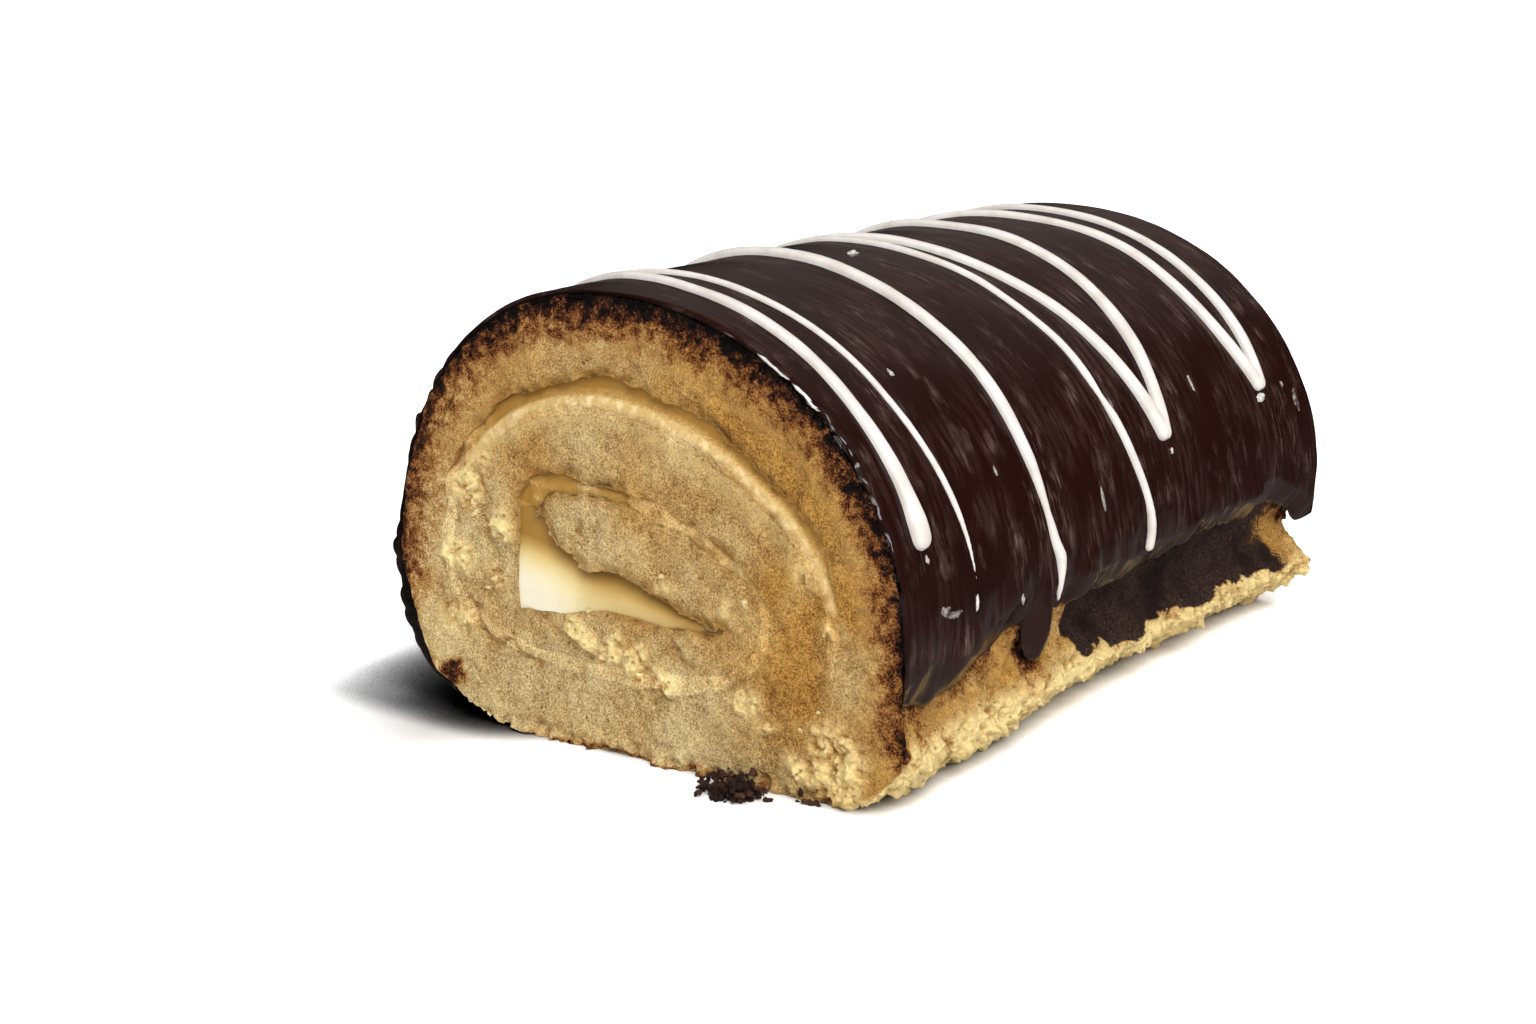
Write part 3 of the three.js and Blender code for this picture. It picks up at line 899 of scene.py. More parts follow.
# ------------------------------------------------------------------------ finishes
class Tree:
    """Short-hand for adding and joining the nodes of a material or a group."""

    def __init__(self, tree: bpy.types.NodeTree) -> None:
        """Starts with an empty tree."""
        self.tree = tree
        tree.nodes.clear()

    def add(self, kind: str, inputs: dict | None = None, **settings: object) -> bpy.types.Node:
        """Adds a node.

        Args:
            kind: Node type without its ShaderNode prefix, or a whole type name.
            inputs: Values and sockets for its inputs, by name or number.
            settings: Properties of the node by name.

        Returns:
            The new node.
        """
        node = self.tree.nodes.new(kind if kind.startswith("Node") else "ShaderNode" + kind)
        for key, value in settings.items():
            setattr(node, key, value)
        for key, value in (inputs or {}).items():
            self.put(value, node.inputs[key])
        return node

    def put(self, source: object, target: Socket) -> None:
        """Joins a socket to another, or sets a plain value on it.

        Args:
            source: Socket or plain value.
            target: Socket that takes it.
        """
        if isinstance(source, Socket):
            self.tree.links.new(source, target)
        else:
            target.default_value = source

    def math(self, operation: str, a: object, b: object = 0.0, clamp: bool = False) -> Socket:
        """Result of an operation on one or two values or sockets, kept between 0 and 1 by clamp."""
        return self.add("Math", {0: a, 1: b}, operation=operation, use_clamp=clamp).outputs[0]

    def times(self, a: object, b: object) -> Socket:
        """Product of two values or sockets."""
        return self.math("MULTIPLY", a, b)

    def plus(self, a: object, b: object, clamp: bool = False) -> Socket:
        """Two values or sockets added together."""
        return self.math("ADD", a, b, clamp)

    def minus(self, a: object, b: object, clamp: bool = False) -> Socket:
        """Difference of two values or sockets."""
        return self.math("SUBTRACT", a, b, clamp)

    def span(self, value: object, *spans: float) -> Socket:
        """Maps a value softly from one span to another.

        Args:
            value: Value or socket to map.
            spans: Ends of the old span, then those of the new one if it isn't 0 to 1.

        Returns:
            The result's socket.
        """
        ends = spans if len(spans) == 4 else (*spans, 0.0, 1.0)
        inputs = dict(enumerate((value, *ends)))
        return self.add("MapRange", inputs, interpolation_type="SMOOTHSTEP").outputs[0]

    def blend(self, share: object, a: object, b: object) -> Socket:
        """Blend of two colours, with the share of the second."""
        return self.add("Mix", {0: share, 6: a, 7: b}, data_type="RGBA").outputs[2]

    def choose(self, share: object, a: object, b: object) -> Socket:
        """Blend of two plain values, with the share of the second."""
        return self.add("Mix", {0: share, 2: a, 3: b}, data_type="FLOAT").outputs[0]

    def ramp(self, value: object, stops: tuple) -> Sockets:
        """Adds a colour ramp.

        Args:
            value: Place on the ramp.
            stops: Place, screen colour and alpha of each stop, in order.

        Returns:
            The outputs of the ramp's node.
        """
        node = self.add("ValToRGB", {0: value})
        elements = node.color_ramp.elements
        for place, _, _ in stops[2:]:
            elements.new(place)
        for element, (place, tone, share) in zip(elements, stops):
            element.position = place
            element.color = colour(*tone)[:3] + (share,)
        return node.outputs

    def mask(self, label: str) -> Socket:
        """Value of a mesh mask."""
        return self.add("Attribute", attribute_name=label).outputs["Fac"]

    def cells(self, vector: Socket, scale: object) -> Sockets:
        """Outputs of a texture of irregular cells."""
        return self.add("TexVoronoi", {"Vector": vector, "Scale": scale}, feature="F1").outputs

    def noise(self, vector: Socket, size: object, detail: float = 3.0,
              rough: float = 0.5) -> Socket:
        """Layered noise with features of a size in millimetres.

        Args:
            vector: Place in metres, or any vector when size is a plain share.
            size: Size of the features in millimetres, or a socket that holds a scale.
            detail: Number of finer layers.
            rough: How strong each finer layer is beside the one before.

        Returns:
            The noise's value.
        """
        scale = size if isinstance(size, Socket) else 1.0 / (size * MM)
        inputs = {"Vector": vector, "Scale": scale, "Detail": detail, "Roughness": rough}
        return self.add("TexNoise", inputs).outputs["Fac"]


def colour(red: float, green: float, blue: float) -> tuple[float, float, float, float]:
    """Linear colour of screen values.

    Args:
        red: Red from 0 to 255.
        green: Green from 0 to 255.
        blue: Blue from 0 to 255.

    Returns:
        The three channels and a full alpha.
    """
    shares = [value / 255.0 for value in (red, green, blue)]
    linear = [s / 12.92 if s <= 0.04045 else ((s + 0.055) / 1.055) ** 2.4 for s in shares]
    return (*linear, 1.0)


class Groups:
    """Node groups that finishes are put together from, each built once."""

    KINDS = {"Vector": "NodeSocketVector", "Color": "NodeSocketColor"}

    @classmethod
    def start(cls, name: str, inputs: tuple[str, ...], outputs: tuple[str, ...]) -> tuple[
            bpy.types.NodeTree, Tree, Sockets]:
        """Starts a node group with named sockets, plain numbers apart from vectors and colours.

        Args:
            name: Name of the group.
            inputs: Names of its inputs.
            outputs: Names of its outputs.

        Returns:
            The group, the short-hand for its nodes and the sockets of its input node.
        """
        group = bpy.data.node_groups.new(name, "ShaderNodeTree")
        for direction, labels in (("INPUT", inputs), ("OUTPUT", outputs)):
            for label in labels:
                kind = cls.KINDS.get(label, "NodeSocketFloat")
                group.interface.new_socket(label, in_out=direction, socket_type=kind)
        tree = Tree(group)
        return group, tree, tree.add("NodeGroupInput").outputs

    @classmethod
    @cache
    def crumb_body(cls) -> bpy.types.NodeTree:
        """Open cake crumb: its colour, its fine relief and its specks.

        Relief, Warm and Torn are masks from 0 to 1: how far a place stands out, how golden it
        is, and how freshly torn. The colour carries painted light and shade: lighter where the
        relief stands out, darker in its hollows, its pores and the gaps between torn grains.

        Returns:
            The group.
        """
        group, tree, given = cls.start(
            "crumb_body", ("Vector", "Pore Scale", "Patch Scale", "Relief", "Warm", "Torn"),
            ("Color", "Specks", "Patches", "Soft", "Height"))
        vector, scale, relief, torn = (given[label] for label in ("Vector", "Pore Scale", "Relief", "Torn"))
        fine = tree.noise(vector, tree.times(scale, 2.1), 5.0, 0.75)
        specks = tree.span(fine, 0.34, 0.66)
        soft = tree.noise(vector, tree.times(scale, 0.42), 3.0)
        patches = tree.noise(vector, given["Patch Scale"], 3.0)
        cells = tree.cells(vector, tree.times(scale, 0.5))
        gaps = tree.plus(cells["Distance"], tree.times(fine, 0.5))
        pores = tree.times(tree.span(gaps, 0.5, 0.34), tree.span(cells["Color"], 0.5, 0.62))
        grit = tree.cells(vector, tree.times(scale, 0.66))
        grains = tree.span(tree.plus(grit["Distance"], tree.times(fine, 0.5)), 0.95, 0.3)
        grains = tree.times(grains, torn)
        # Painted light and shade: raised relief lightens the colour and hollows darken it.
        light = tree.times(relief, 0.55)
        for part, share in ((specks, 1.0), (tree.span(soft, 0.3, 0.7), 0.25), (patches, 0.3)):
            light = tree.plus(light, tree.times(part, share))
        light = tree.minus(light, 0.56, clamp=True)
        cool = tree.blend(light, colour(166, 126, 64), colour(252, 230, 172))
        warm = tree.blend(light, colour(130, 75, 18), colour(228, 176, 88))
        # Painted light and shade on torn clumps: lighter where they stand up, darker between grains.
        standing = tree.plus(relief, tree.times(specks, 0.35))
        standing = tree.plus(standing, tree.times(grains, 0.35))
        fresh = tree.blend(tree.span(standing, 0.25, 1.1), colour(184, 130, 60), colour(252, 226, 158))
        body = tree.blend(given["Warm"], cool, warm)
        body = tree.blend(tree.times(torn, 0.8), body, fresh)
        # Painted shade: pores are darkened in the colour.
        body = tree.blend(tree.times(pores, 0.6), body, colour(128, 78, 24))
        height = tree.minus(tree.times(fine, 1.6), tree.times(pores, 0.5))
        height = tree.plus(height, tree.times(grains, 0.8))
        tree.add("NodeGroupOutput",
                 {"Color": body, "Specks": specks, "Patches": patches, "Soft": soft, "Height": height})
        return group

    @classmethod
    @cache
    def toasting(cls) -> bpy.types.NodeTree:
        """Crust tones from golden to burnt, laid over a colour by how toasted a place is.

        Returns:
            The group.
        """
        group, tree, given = cls.start(
            "toasting", ("Color", "Toast", "Specks", "Patches", "Soft"), ("Color", "Toast"))
        toast = given["Toast"]
        uneven = tree.times(tree.minus(0.5, given["Specks"]), 0.42)
        uneven = tree.plus(uneven, tree.span(given["Soft"], 0.32, 0.68, 0.15, -0.15))
        blotch = tree.times(tree.minus(given["Patches"], 0.5), 0.3)
        spread = tree.times(tree.plus(uneven, blotch), tree.span(toast, 0.0, 0.25))
        level = tree.plus(toast, spread, clamp=True)
        ramp = tree.ramp(level, (
            (0.0, (206, 160, 92), 0.0), (0.15, (196, 150, 86), 0.5), (0.3, (180, 132, 70), 0.85),
            (0.4, (166, 114, 54), 1.0), (0.5, (145, 87, 36), 1.0), (0.58, (116, 62, 24), 1.0),
            (0.64, (92, 44, 15), 1.0), (0.7, (56, 25, 10), 1.0), (0.75, (24, 9, 4), 1.0),
            (0.8, (8, 3, 2), 1.0)))
        body = tree.blend(ramp["Alpha"], given["Color"], ramp["Color"])
        tree.add("NodeGroupOutput", {"Color": body, "Toast": level})
        return group

    @classmethod
    @cache
    def poured_flow(cls) -> bpy.types.NodeTree:
        """Streaks of something poured, drawn out along the first axis of a flat vector.

        Returns:
            The group.
        """
        group, tree, given = cls.start("poured_flow", ("Vector", "Streak Length", "Streak Width"),
                                       ("Streaks", "Clouds", "Height", "Flecks", "Sheen Marks"))
        size = tree.add("CombineXYZ", {0: given["Streak Length"], 1: given["Streak Width"], 2: 1.0})
        drawn = tree.add("VectorMath", {0: given["Vector"], 1: size.outputs[0]}, operation="DIVIDE")
        drawn = drawn.outputs[0]
        streaks = tree.add("TexNoise", {"Vector": drawn, "Scale": 1.0, "Detail": 3.0, "Distortion": 0.6})
        clouds = tree.add("TexNoise", {"Vector": given["Vector"], "Scale": 0.07, "Detail": 2.0})
        hairs = tree.add("TexNoise", {"Vector": drawn, "Scale": 2.6, "Detail": 3.0})
        streaks, clouds, hairs = (node.outputs["Fac"] for node in (streaks, clouds, hairs))
        cells = tree.cells(drawn, 1.7)
        slack = tree.add("VectorMath", {0: given["Vector"], 1: (0.5, 1.0, 1.0)}, operation="MULTIPLY")
        slack = slack.outputs[0]
        groups = tree.noise(slack, 9000.0, 3.0, 0.55)
        spots = tree.times(tree.span(cells["Distance"], 0.34, 0.08), tree.span(cells["Color"], 0.6, 0.7))
        lines = tree.times(tree.span(hairs, 0.5, 0.74), tree.span(groups, 0.5, 0.66))
        # Noise for the marks that the coat paints as sheen streaks.
        sheen_noise = tree.noise(slack, 4500.0, 5.0, 0.62)
        film = tree.times(tree.span(sheen_noise, 0.52, 0.78), tree.span(streaks, 0.35, 0.6))
        tree.add("NodeGroupOutput", {
            "Streaks": tree.span(streaks, 0.38, 0.68), "Clouds": tree.span(clouds, 0.4, 0.66),
            "Height": streaks, "Flecks": tree.times(spots, tree.span(groups, 0.6, 0.68)),
            "Sheen Marks": tree.math("MAXIMUM", film, tree.times(lines, 0.8))})
        return group


class Finish:
    """Base of all finishes: a material with one Principled shader."""

    name = "finish"

    def __init__(self) -> None:
        """Makes the material and fills its node tree."""
        self.material = bpy.data.materials.new(self.name)
        self.material.use_nodes = True
        self.tree = Tree(self.material.node_tree)
        self.shader = self.tree.add("BsdfPrincipled")
        self.output = self.tree.add("OutputMaterial", {"Surface": self.shader.outputs[0]})
        self.place = self.tree.add("TexCoord").outputs["Object"]
        self.dress()

    def dress(self) -> None:
        """Fills the node tree; each finish has its own."""
        raise NotImplementedError

    def set(self, **values: object) -> None:
        """Sets plain values or links on the shader, with underscores for spaces."""
        for key, value in values.items():
            self.tree.put(value, self.shader.inputs[key.replace("_", " ")])

    def crumb(self, pore_mm: float, patch_mm: float, masks: bool = True) -> bpy.types.Node:
        """Adds the crumb group.

        Args:
            pore_mm: Size of the pores.
            patch_mm: Size of the larger patches.
            masks: Whether the mesh holds the relief, warm and torn masks.

        Returns:
            The group's node.
        """
        scales = {"Pore Scale": 1.0 / (pore_mm * MM), "Patch Scale": 1.0 / (patch_mm * MM)}
        inputs = {"Vector": self.place, **scales}
        for label in ("Relief", "Warm", "Torn"):
            inputs[label] = self.tree.mask(label.lower()) if masks else 0.5
        return self.tree.add("Group", inputs, node_tree=Groups.crumb_body())

    def relief(self, height: object, distance_mm: float, strength: float = 1.0) -> None:
        """Feeds a height through a bump to the normal, a full step of it standing for distance_mm."""
        inputs = {"Strength": strength, "Distance": distance_mm * MM, "Height": height}
        self.set(Normal=self.tree.add("Bump", inputs).outputs[0])


class SpongeFinish(Finish):
    """Open golden crumb, toasted towards the coat, with a chocolate-stained flank."""

    name = "sponge_crumb"
    # Painted shade: colour of the crumb down in grooves, cracks and the cream's slot.
    recess_shade = colour(190, 140, 62)
    creamed = colour(238, 206, 138)
    fringe = colour(104, 62, 30)
    stained = colour(36, 22, 18)
    skin = colour(98, 72, 62)

    def dress(self) -> None:
        """Layers crumb, smeared cream, painted shade in grooves and cracks, toasting and chocolate stain with
        painted sheen.
        """
        tree = self.tree
        grain = self.crumb(0.62, 9.0)
        patches, specks, soft = (grain.outputs[label] for label in ("Patches", "Specks", "Soft"))
        smear = tree.times(tree.mask("smeared"), tree.span(specks, 0.0, 1.0, 0.45, 1.0))
        body = tree.blend(smear, grain.outputs["Color"], self.creamed)
        # Painted shade in the grooves, by the groove mask.
        body = tree.blend(tree.mask("groove"), body, self.recess_shade)
        inputs = {"Color": body, "Specks": specks, "Patches": patches, "Soft": soft}
        toasting = tree.add("Group", {**inputs, "Toast": tree.mask("toast")}, node_tree=Groups.toasting())
        body = toasting.outputs["Color"]
        ragged = tree.times(tree.minus(0.5, specks), 0.4)
        skin = tree.plus(tree.mask("skin"), ragged)
        body = tree.blend(tree.span(skin, 0.2, 0.5), body, self.fringe)
        # Painted sheen: specks within patches lighten the chocolate stain to the skin tone.
        sheen = tree.times(tree.span(specks, 0.35, 0.9), tree.span(patches, 0.3, 0.65))
        body = tree.blend(tree.span(skin, 0.42, 0.62), body, tree.blend(sheen, self.stained, self.skin))
        gloss = tree.times(tree.span(toasting.outputs["Toast"], 0.7, 0.9), 0.45)
        gloss = tree.math("MAXIMUM", gloss, tree.span(skin, 0.42, 0.7, 0.0, 0.4))
        self.set(Base_Color=body, Roughness=tree.minus(0.88, gloss), Specular_IOR_Level=0.22,
                 Subsurface_Weight=0.1, Subsurface_Scale=0.001, Subsurface_Radius=(1.0, 0.6, 0.3))
        self.relief(grain.outputs["Height"], 0.42, 1.0)


class CreamFinish(Finish):
    """Smooth ivory cream in the pocket and butter coloured on the ridge, with painted shade, amber in the
    grooves and darker deep in the pocket, and painted highlights on the ridge.
    """

    name = "cream_filling"
    # Painted shade: pocket tones from ivory where the cream lies forward to amber where it lies deep under
    # the tongue.
    tones = ((0.0, (228, 220, 194)), (0.25, (218, 205, 162)), (0.5, (204, 180, 122)), (0.75, (176, 142, 76)),
             (1.0, (148, 110, 44)))
    # Band tones: the ridge, a painted highlight on its shallow parts and a painted shade in its groove.
    ridge = colour(206, 176, 114)
    crest = colour(238, 214, 162)
    groove = colour(166, 122, 48)

    def dress(self) -> None:
        """Paints shade on the cream by its depth and highlights on its shallow ridge, and covers it with
        crumb where it is torn.
        """
        tree = self.tree
        grain = self.crumb(0.62, 9.0)
        clouds = tree.times(tree.minus(grain.outputs["Patches"], 0.5), 0.2)
        depth = tree.plus(tree.mask("depth"), clouds)
        tones = tree.ramp(depth, tuple((place, tone, 1.0) for place, tone in self.tones))
        rubbed = tree.times(tree.minus(0.5, grain.outputs["Specks"]), 0.12)
        # Painted shade towards the groove, then a painted highlight where the ridge is shallow.
        band = tree.blend(tree.span(tree.plus(depth, rubbed), 0.05, 0.25), self.ridge, self.groove)
        bright = tree.span(grain.outputs["Soft"], 0.45, 0.66)
        bright = tree.times(bright, tree.span(depth, 0.14, 0.02))
        band = tree.blend(bright, band, self.crest)
        in_pocket = tree.mask("pocket")
        body = tree.blend(in_pocket, band, tones["Color"])
        crumbed = tree.mask("crumbed")
        body = tree.blend(crumbed, body, grain.outputs["Color"])
        self.set(Base_Color=body, Roughness=tree.span(crumbed, 0.0, 1.0, 0.45, 0.85), Specular_IOR_Level=0.35,
                 Subsurface_Weight=0.2, Subsurface_Scale=0.0015, Subsurface_Radius=(1.0, 0.75, 0.4))
        calm = tree.span(in_pocket, 0.0, 1.0, 0.5, 0.0)
        grainy = tree.math("MAXIMUM", tree.span(crumbed, 0.0, 0.6, 0.12, 1.0), calm)
        self.relief(tree.times(grain.outputs["Height"], grainy), 0.3, 0.75)


class CoatFinish(Finish):
    """Poured dark chocolate: streaked gloss outside, burnt on its cut edges."""

    name = "chocolate_gloss"
    deep = colour(31, 12, 9)
    # Painted sheen and painted glints: lighter tones that stand for reflections on the gloss.
    sheen_cloud_tone = colour(58, 38, 34)
    sheen_streak_tone = colour(102, 82, 75)
    glint = colour(196, 186, 180)
    # Painted reflection: the lip is a little lighter, as if it caught the floor.
    lip = colour(42, 25, 21)
    cut = colour(9, 4, 3)

    def dress(self) -> None:
        """Varies gloss along the pour, paints sheen clouds, sheen streaks, glints, a lighter lip and a rim
        highlight into the tone, and darkens the cut.
        """
        tree = self.tree
        where = tree.add("Attribute", attribute_name="flow").outputs["Vector"]
        flow = tree.add("Group", {"Vector": where, "Streak Length": 8.0, "Streak Width": 1.1},
                        node_tree=Groups.poured_flow())
        streaks = tree.times(flow.outputs["Streaks"], flow.outputs["Clouds"])
        cut, lip = tree.mask("cut"), tree.mask("lip")
        calm = tree.minus(1.0, tree.times(lip, 0.6), clamp=True)
        # Painted sheen and glints laid into the colour.
        body = tree.blend(tree.times(streaks, 0.8), self.deep, self.sheen_cloud_tone)
        body = tree.blend(tree.times(flow.outputs["Sheen Marks"], 0.75), body, self.sheen_streak_tone)
        body = tree.blend(tree.times(flow.outputs["Flecks"], 0.5), body, self.glint)
        # Painted reflection on the lip.
        body = tree.blend(tree.times(lip, 0.7), body, self.lip)
        # Painted highlight along the front rim, in icing white.
        body = tree.blend(tree.span(tree.mask("gleam"), 0.15, 0.6), body, IcingFinish.white)
        rough = tree.plus(0.12, tree.times(streaks, 0.2))
        rough = tree.plus(rough, tree.math("MAXIMUM", tree.times(cut, 0.16), tree.times(lip, 0.05)))
        self.set(Base_Color=tree.blend(cut, body, self.cut), Roughness=rough, Specular_IOR_Level=0.45)
        height = tree.plus(tree.times(flow.outputs["Height"], 0.35), flow.outputs["Flecks"])
        self.relief(tree.times(height, calm), 0.22, 0.8)


class IcingFinish(Finish):
    """Smooth warm white icing."""

    name = "white_icing"
    white = colour(220, 214, 208)
    shade = colour(204, 195, 187)

    def dress(self) -> None:
        """Gives the icing a faint cloudiness and keeps its mirror image in the coat faint."""
        tree = self.tree
        clouds = tree.noise(self.place, 3.5, 2.0)
        body = tree.blend(tree.span(clouds, 0.35, 0.75), self.white, self.shade)
        mirrored = tree.times(tree.add("LightPath").outputs["Is Glossy Ray"], 0.85)
        self.set(Base_Color=tree.blend(mirrored, body, CoatFinish.deep),
                 Roughness=tree.span(clouds, 0.2, 0.8, 0.3, 0.42),
                 Subsurface_Weight=0.05, Subsurface_Scale=0.0006, Specular_IOR_Level=0.45)
        self.relief(clouds, 0.06, 0.5)


class ThinIcingFinish(Finish):
    """Icing smeared so thin that the chocolate shows through."""

    name = "thin_icing"

    def dress(self) -> None:
        """Runs from a dark film to nearly white by the tone mask, with torn edges."""
        tree = self.tree
        grain = tree.span(tree.noise(self.place, 0.7, 4.0), 0.3, 0.7)
        ragged = tree.times(tree.minus(grain, 0.5), 0.5)
        tone = tree.plus(tree.mask("tone"), ragged)
        body = tree.blend(tree.math("MAXIMUM", tone, 0.0), colour(70, 54, 50), IcingFinish.white)
        self.set(Base_Color=body, Roughness=0.35, Specular_IOR_Level=0.45)
        self.relief(grain, 0.15, 0.7)


class CrumbTone(Enum):
    """Kinds of loose crumb."""

    PALE = "pale_crumb"
    DARK = "dark_crumb"


class LooseCrumbFinish(Finish):
    """Finish of loose crumbs, pale from the sponge or dark from crust and coat."""

    def __init__(self, tone: CrumbTone) -> None:
        """Makes the finish.

        Args:
            tone: Kind of crumb.
        """
        self.name = tone.value
        self.tone = tone
        super().__init__()

    def dress(self) -> None:
        """Grains the crumbs."""
        tree = self.tree
        grain = self.crumb(0.55, 4.0, masks=False)
        pale = self.tone is CrumbTone.PALE
        light = tree.times(grain.outputs["Specks"], tree.span(grain.outputs["Patches"], 0.4, 0.7))
        dark = tree.blend(light, colour(40, 21, 15), colour(120, 78, 52))
        body = tree.blend(0.4, grain.outputs["Color"], colour(252, 232, 178)) if pale else dark
        self.set(Base_Color=body, Roughness=0.82 if pale else 0.5, Specular_IOR_Level=0.35,
                 Subsurface_Weight=0.1 if pale else 0.0, Subsurface_Scale=0.001)
        self.relief(grain.outputs["Height"], 0.3, 0.9)


class FloorFinish(Finish):
    """Plain pale studio floor with a painted contact shadow by the roll, that keeps its glow out of the
    glossy coat further away.
    """

    name = "studio_floor"
    seen = 1.3
    bounced = 0.85
    mirrored = 0.12
    left_side = (-0.034, -0.012)

    def dress(self) -> None:
        """Mixes the floor's tone by the kind of ray that meets it, with a painted contact shadow for camera
        rays.
        """
        tree = self.tree
        mottle = tree.noise(self.place, 400.0, 1.0)
        rays = tree.add("LightPath").outputs
        apart = tree.add("SeparateXYZ", {0: self.place}).outputs
        reach = tree.span(apart[0], *self.left_side, 0.026, 0.0035)
        # Painted shadow: ambient occlusion darkens the floor seen by the camera, most on the left.
        shelter = tree.add("AmbientOcclusion", {"Distance": reach}, samples=8).outputs["AO"]
        power = tree.times(tree.span(apart[0], *self.left_side, 9.0, 0.55),
                           tree.span(apart[1], -0.072, -0.064, 0.25, 1.0))
        seen = tree.times(self.seen, tree.math("POWER", shelter, power))
        away = [tree.minus(tree.math("ABSOLUTE", apart[i]), edge * MM) for i, edge in ((0, 44.0), (1, 62.0))]
        near_glow = tree.span(tree.math("MAXIMUM", *away), 0.02, 0.085, self.mirrored, 0.02)
        plain = tree.plus(self.bounced, tree.times(mottle, 0.01))
        level = tree.choose(rays["Is Glossy Ray"], plain, near_glow)
        shown = tree.choose(rays["Is Camera Ray"], level, seen)
        tone = tree.add("CombineColor", {0: shown, 1: shown, 2: shown}).outputs[0]
        diffuse = tree.add("BsdfDiffuse", {"Color": tone}).outputs[0]
        tree.put(diffuse, self.output.inputs["Surface"])


# ------------------------------------------------------------------------ sub-assemblies
@dataclass(frozen=True)
class CrumbRelief:
    """Relief of torn and cut crumb, shared by the sponge and by crumbed cream."""

    seed: int = 31
    torn: tuple[tuple[float, float, float, float], ...] = (  # X, Z, radius and strength
        (-30.5, 35.5, 4.5, 0.9), (-31.5, 24.5, 4.5, 0.8), (-24.5, 30.5, 3.4, 0.8), (-26.0, 22.5, 3.4, 0.7),
        (-9.5, 17.4, 3.2, 0.9), (-4.5, 16.0, 3.6, 1.0), (0.5, 14.2, 3.6, 1.0), (5.5, 12.4, 3.2, 0.9),
        (20.0, 12.4, 3.0, 0.8), (22.8, 9.6, 2.8, 0.7), (34.0, 6.0, 8.0, 0.9), (27.5, 5.0, 3.4, 0.7),
        (16.5, 25.0, 3.6, 0.5), (-26.0, 40.5, 4.0, 0.5), (28.0, 30.0, 4.5, 0.5), (-33.5, 15.5, 4.5, 0.6),
        (-9.0, 32.0, 5.0, 0.35), (22.0, 38.0, 4.0, 0.3), (6.0, 26.5, 4.5, 0.45), (34.0, 24.0, 4.0, 0.5),
        (11.5, 19.5, 3.0, 0.5), (-37.0, 30.0, 3.0, 0.5),
    )
    cracks: tuple[tuple[float, ...], ...] = (  # width, depth, then X and Z of each stop
        (1.0, 1.1, -30.0, 18.3, -29.1, 15.4, -26.5, 12.6, -20.9, 12.4, -17.7, 10.6),
        (1.3, 1.0, -36.9, 19.1, -36.2, 17.0, -35.5, 14.8), (1.0, 0.9, -16.6, 17.2, -10.7, 15.4, -8.0, 13.5),
        (1.2, 1.0, -27.6, 36.5, -26.8, 30.7, -25.3, 25.0),
        (0.8, 0.9, -2.5, 17.0, 2.0, 14.5, 4.5, 11.0, 8.0, 9.5),
        (0.8, 0.8, 6.0, 17.5, 9.5, 15.0, 12.0, 14.6), (0.8, 0.7, -33.5, 32.0, -33.0, 27.0, -31.0, 22.0),
        (0.7, 0.7, 21.0, 20.0, 23.0, 16.0, 22.0, 12.0), (0.7, 0.6, 28.0, 11.0, 31.5, 8.5, 36.5, 8.8),
    )

    def torn_share(self, points: Array) -> Array:
        """How torn each place of a cut face is.

        Args:
            points: Places in space.

        Returns:
            One share for each place.
        """
        share = np.zeros(len(points))
        x = points[:, 0] + 1.5 * Noise.rough(points, 6.0, self.seed + 1, 2)
        z = points[:, 2] + 1.5 * Noise.rough(points, 6.0, self.seed + 2, 2)
        for place_x, place_z, radius, strength in self.torn:
            share = np.maximum(share, strength * bump(np.hypot(x - place_x, z - place_z), radius * 1.25))
        return smoothstep(0.1, 0.6, share) * np.clip(share + 0.3, 0.0, 1.0)

    def height(self, points: Array, clumpy: Array) -> Array:
        """Height of the relief.

        Args:
            points: Places in space.
            clumpy: How torn and clumpy each place is.

        Returns:
            Heights in millimetres.
        """
        warped = points + Noise.vector(points, 2.2, self.seed + 3)
        first, second, owner = Noise.cells(warped, 4.6, self.seed + 20)
        plateau = np.maximum(owner - 0.45, -0.2) * smoothstep(0.0, 0.3, second - first)
        small, small_next, small_owner = Noise.cells(warped, 2.0, self.seed + 30)
        chips = (small_owner - 0.5) * smoothstep(0.0, 0.2, small_next - small)
        pore, _, pore_owner = Noise.cells(points, 1.3, self.seed + 40)
        pits = np.where(pore_owner > 0.84, np.maximum(0.0, 1.0 - pore / 0.4), 0.0)
        hole, _, hole_owner = Noise.cells(points, 5.0, self.seed + 45)
        holes = np.where(hole_owner > 0.6, smoothstep(0.15, 0.07, hole), 0.0)
        waves = 0.3 * Noise.rough(points, 12.0, self.seed + 50, 2)
        waves = waves + 0.34 * Noise.rough(points, 3.4, self.seed + 60)
        fine = 0.12 * Noise.rough(points, 1.3, self.seed + 70, 2)
        puffs = sum(share * np.abs(Noise.smooth(warped / size, self.seed + 90 + k))
                    for k, (size, share) in enumerate(((2.3, 0.8), (1.2, 0.7), (0.7, 0.5))))
        torn = 1.3 * plateau + 0.7 * chips + 1.1 * puffs - 0.4
        return waves + fine + 0.24 * chips - 0.3 * pits - 0.35 * holes + clumpy * torn - self.cracked(points)

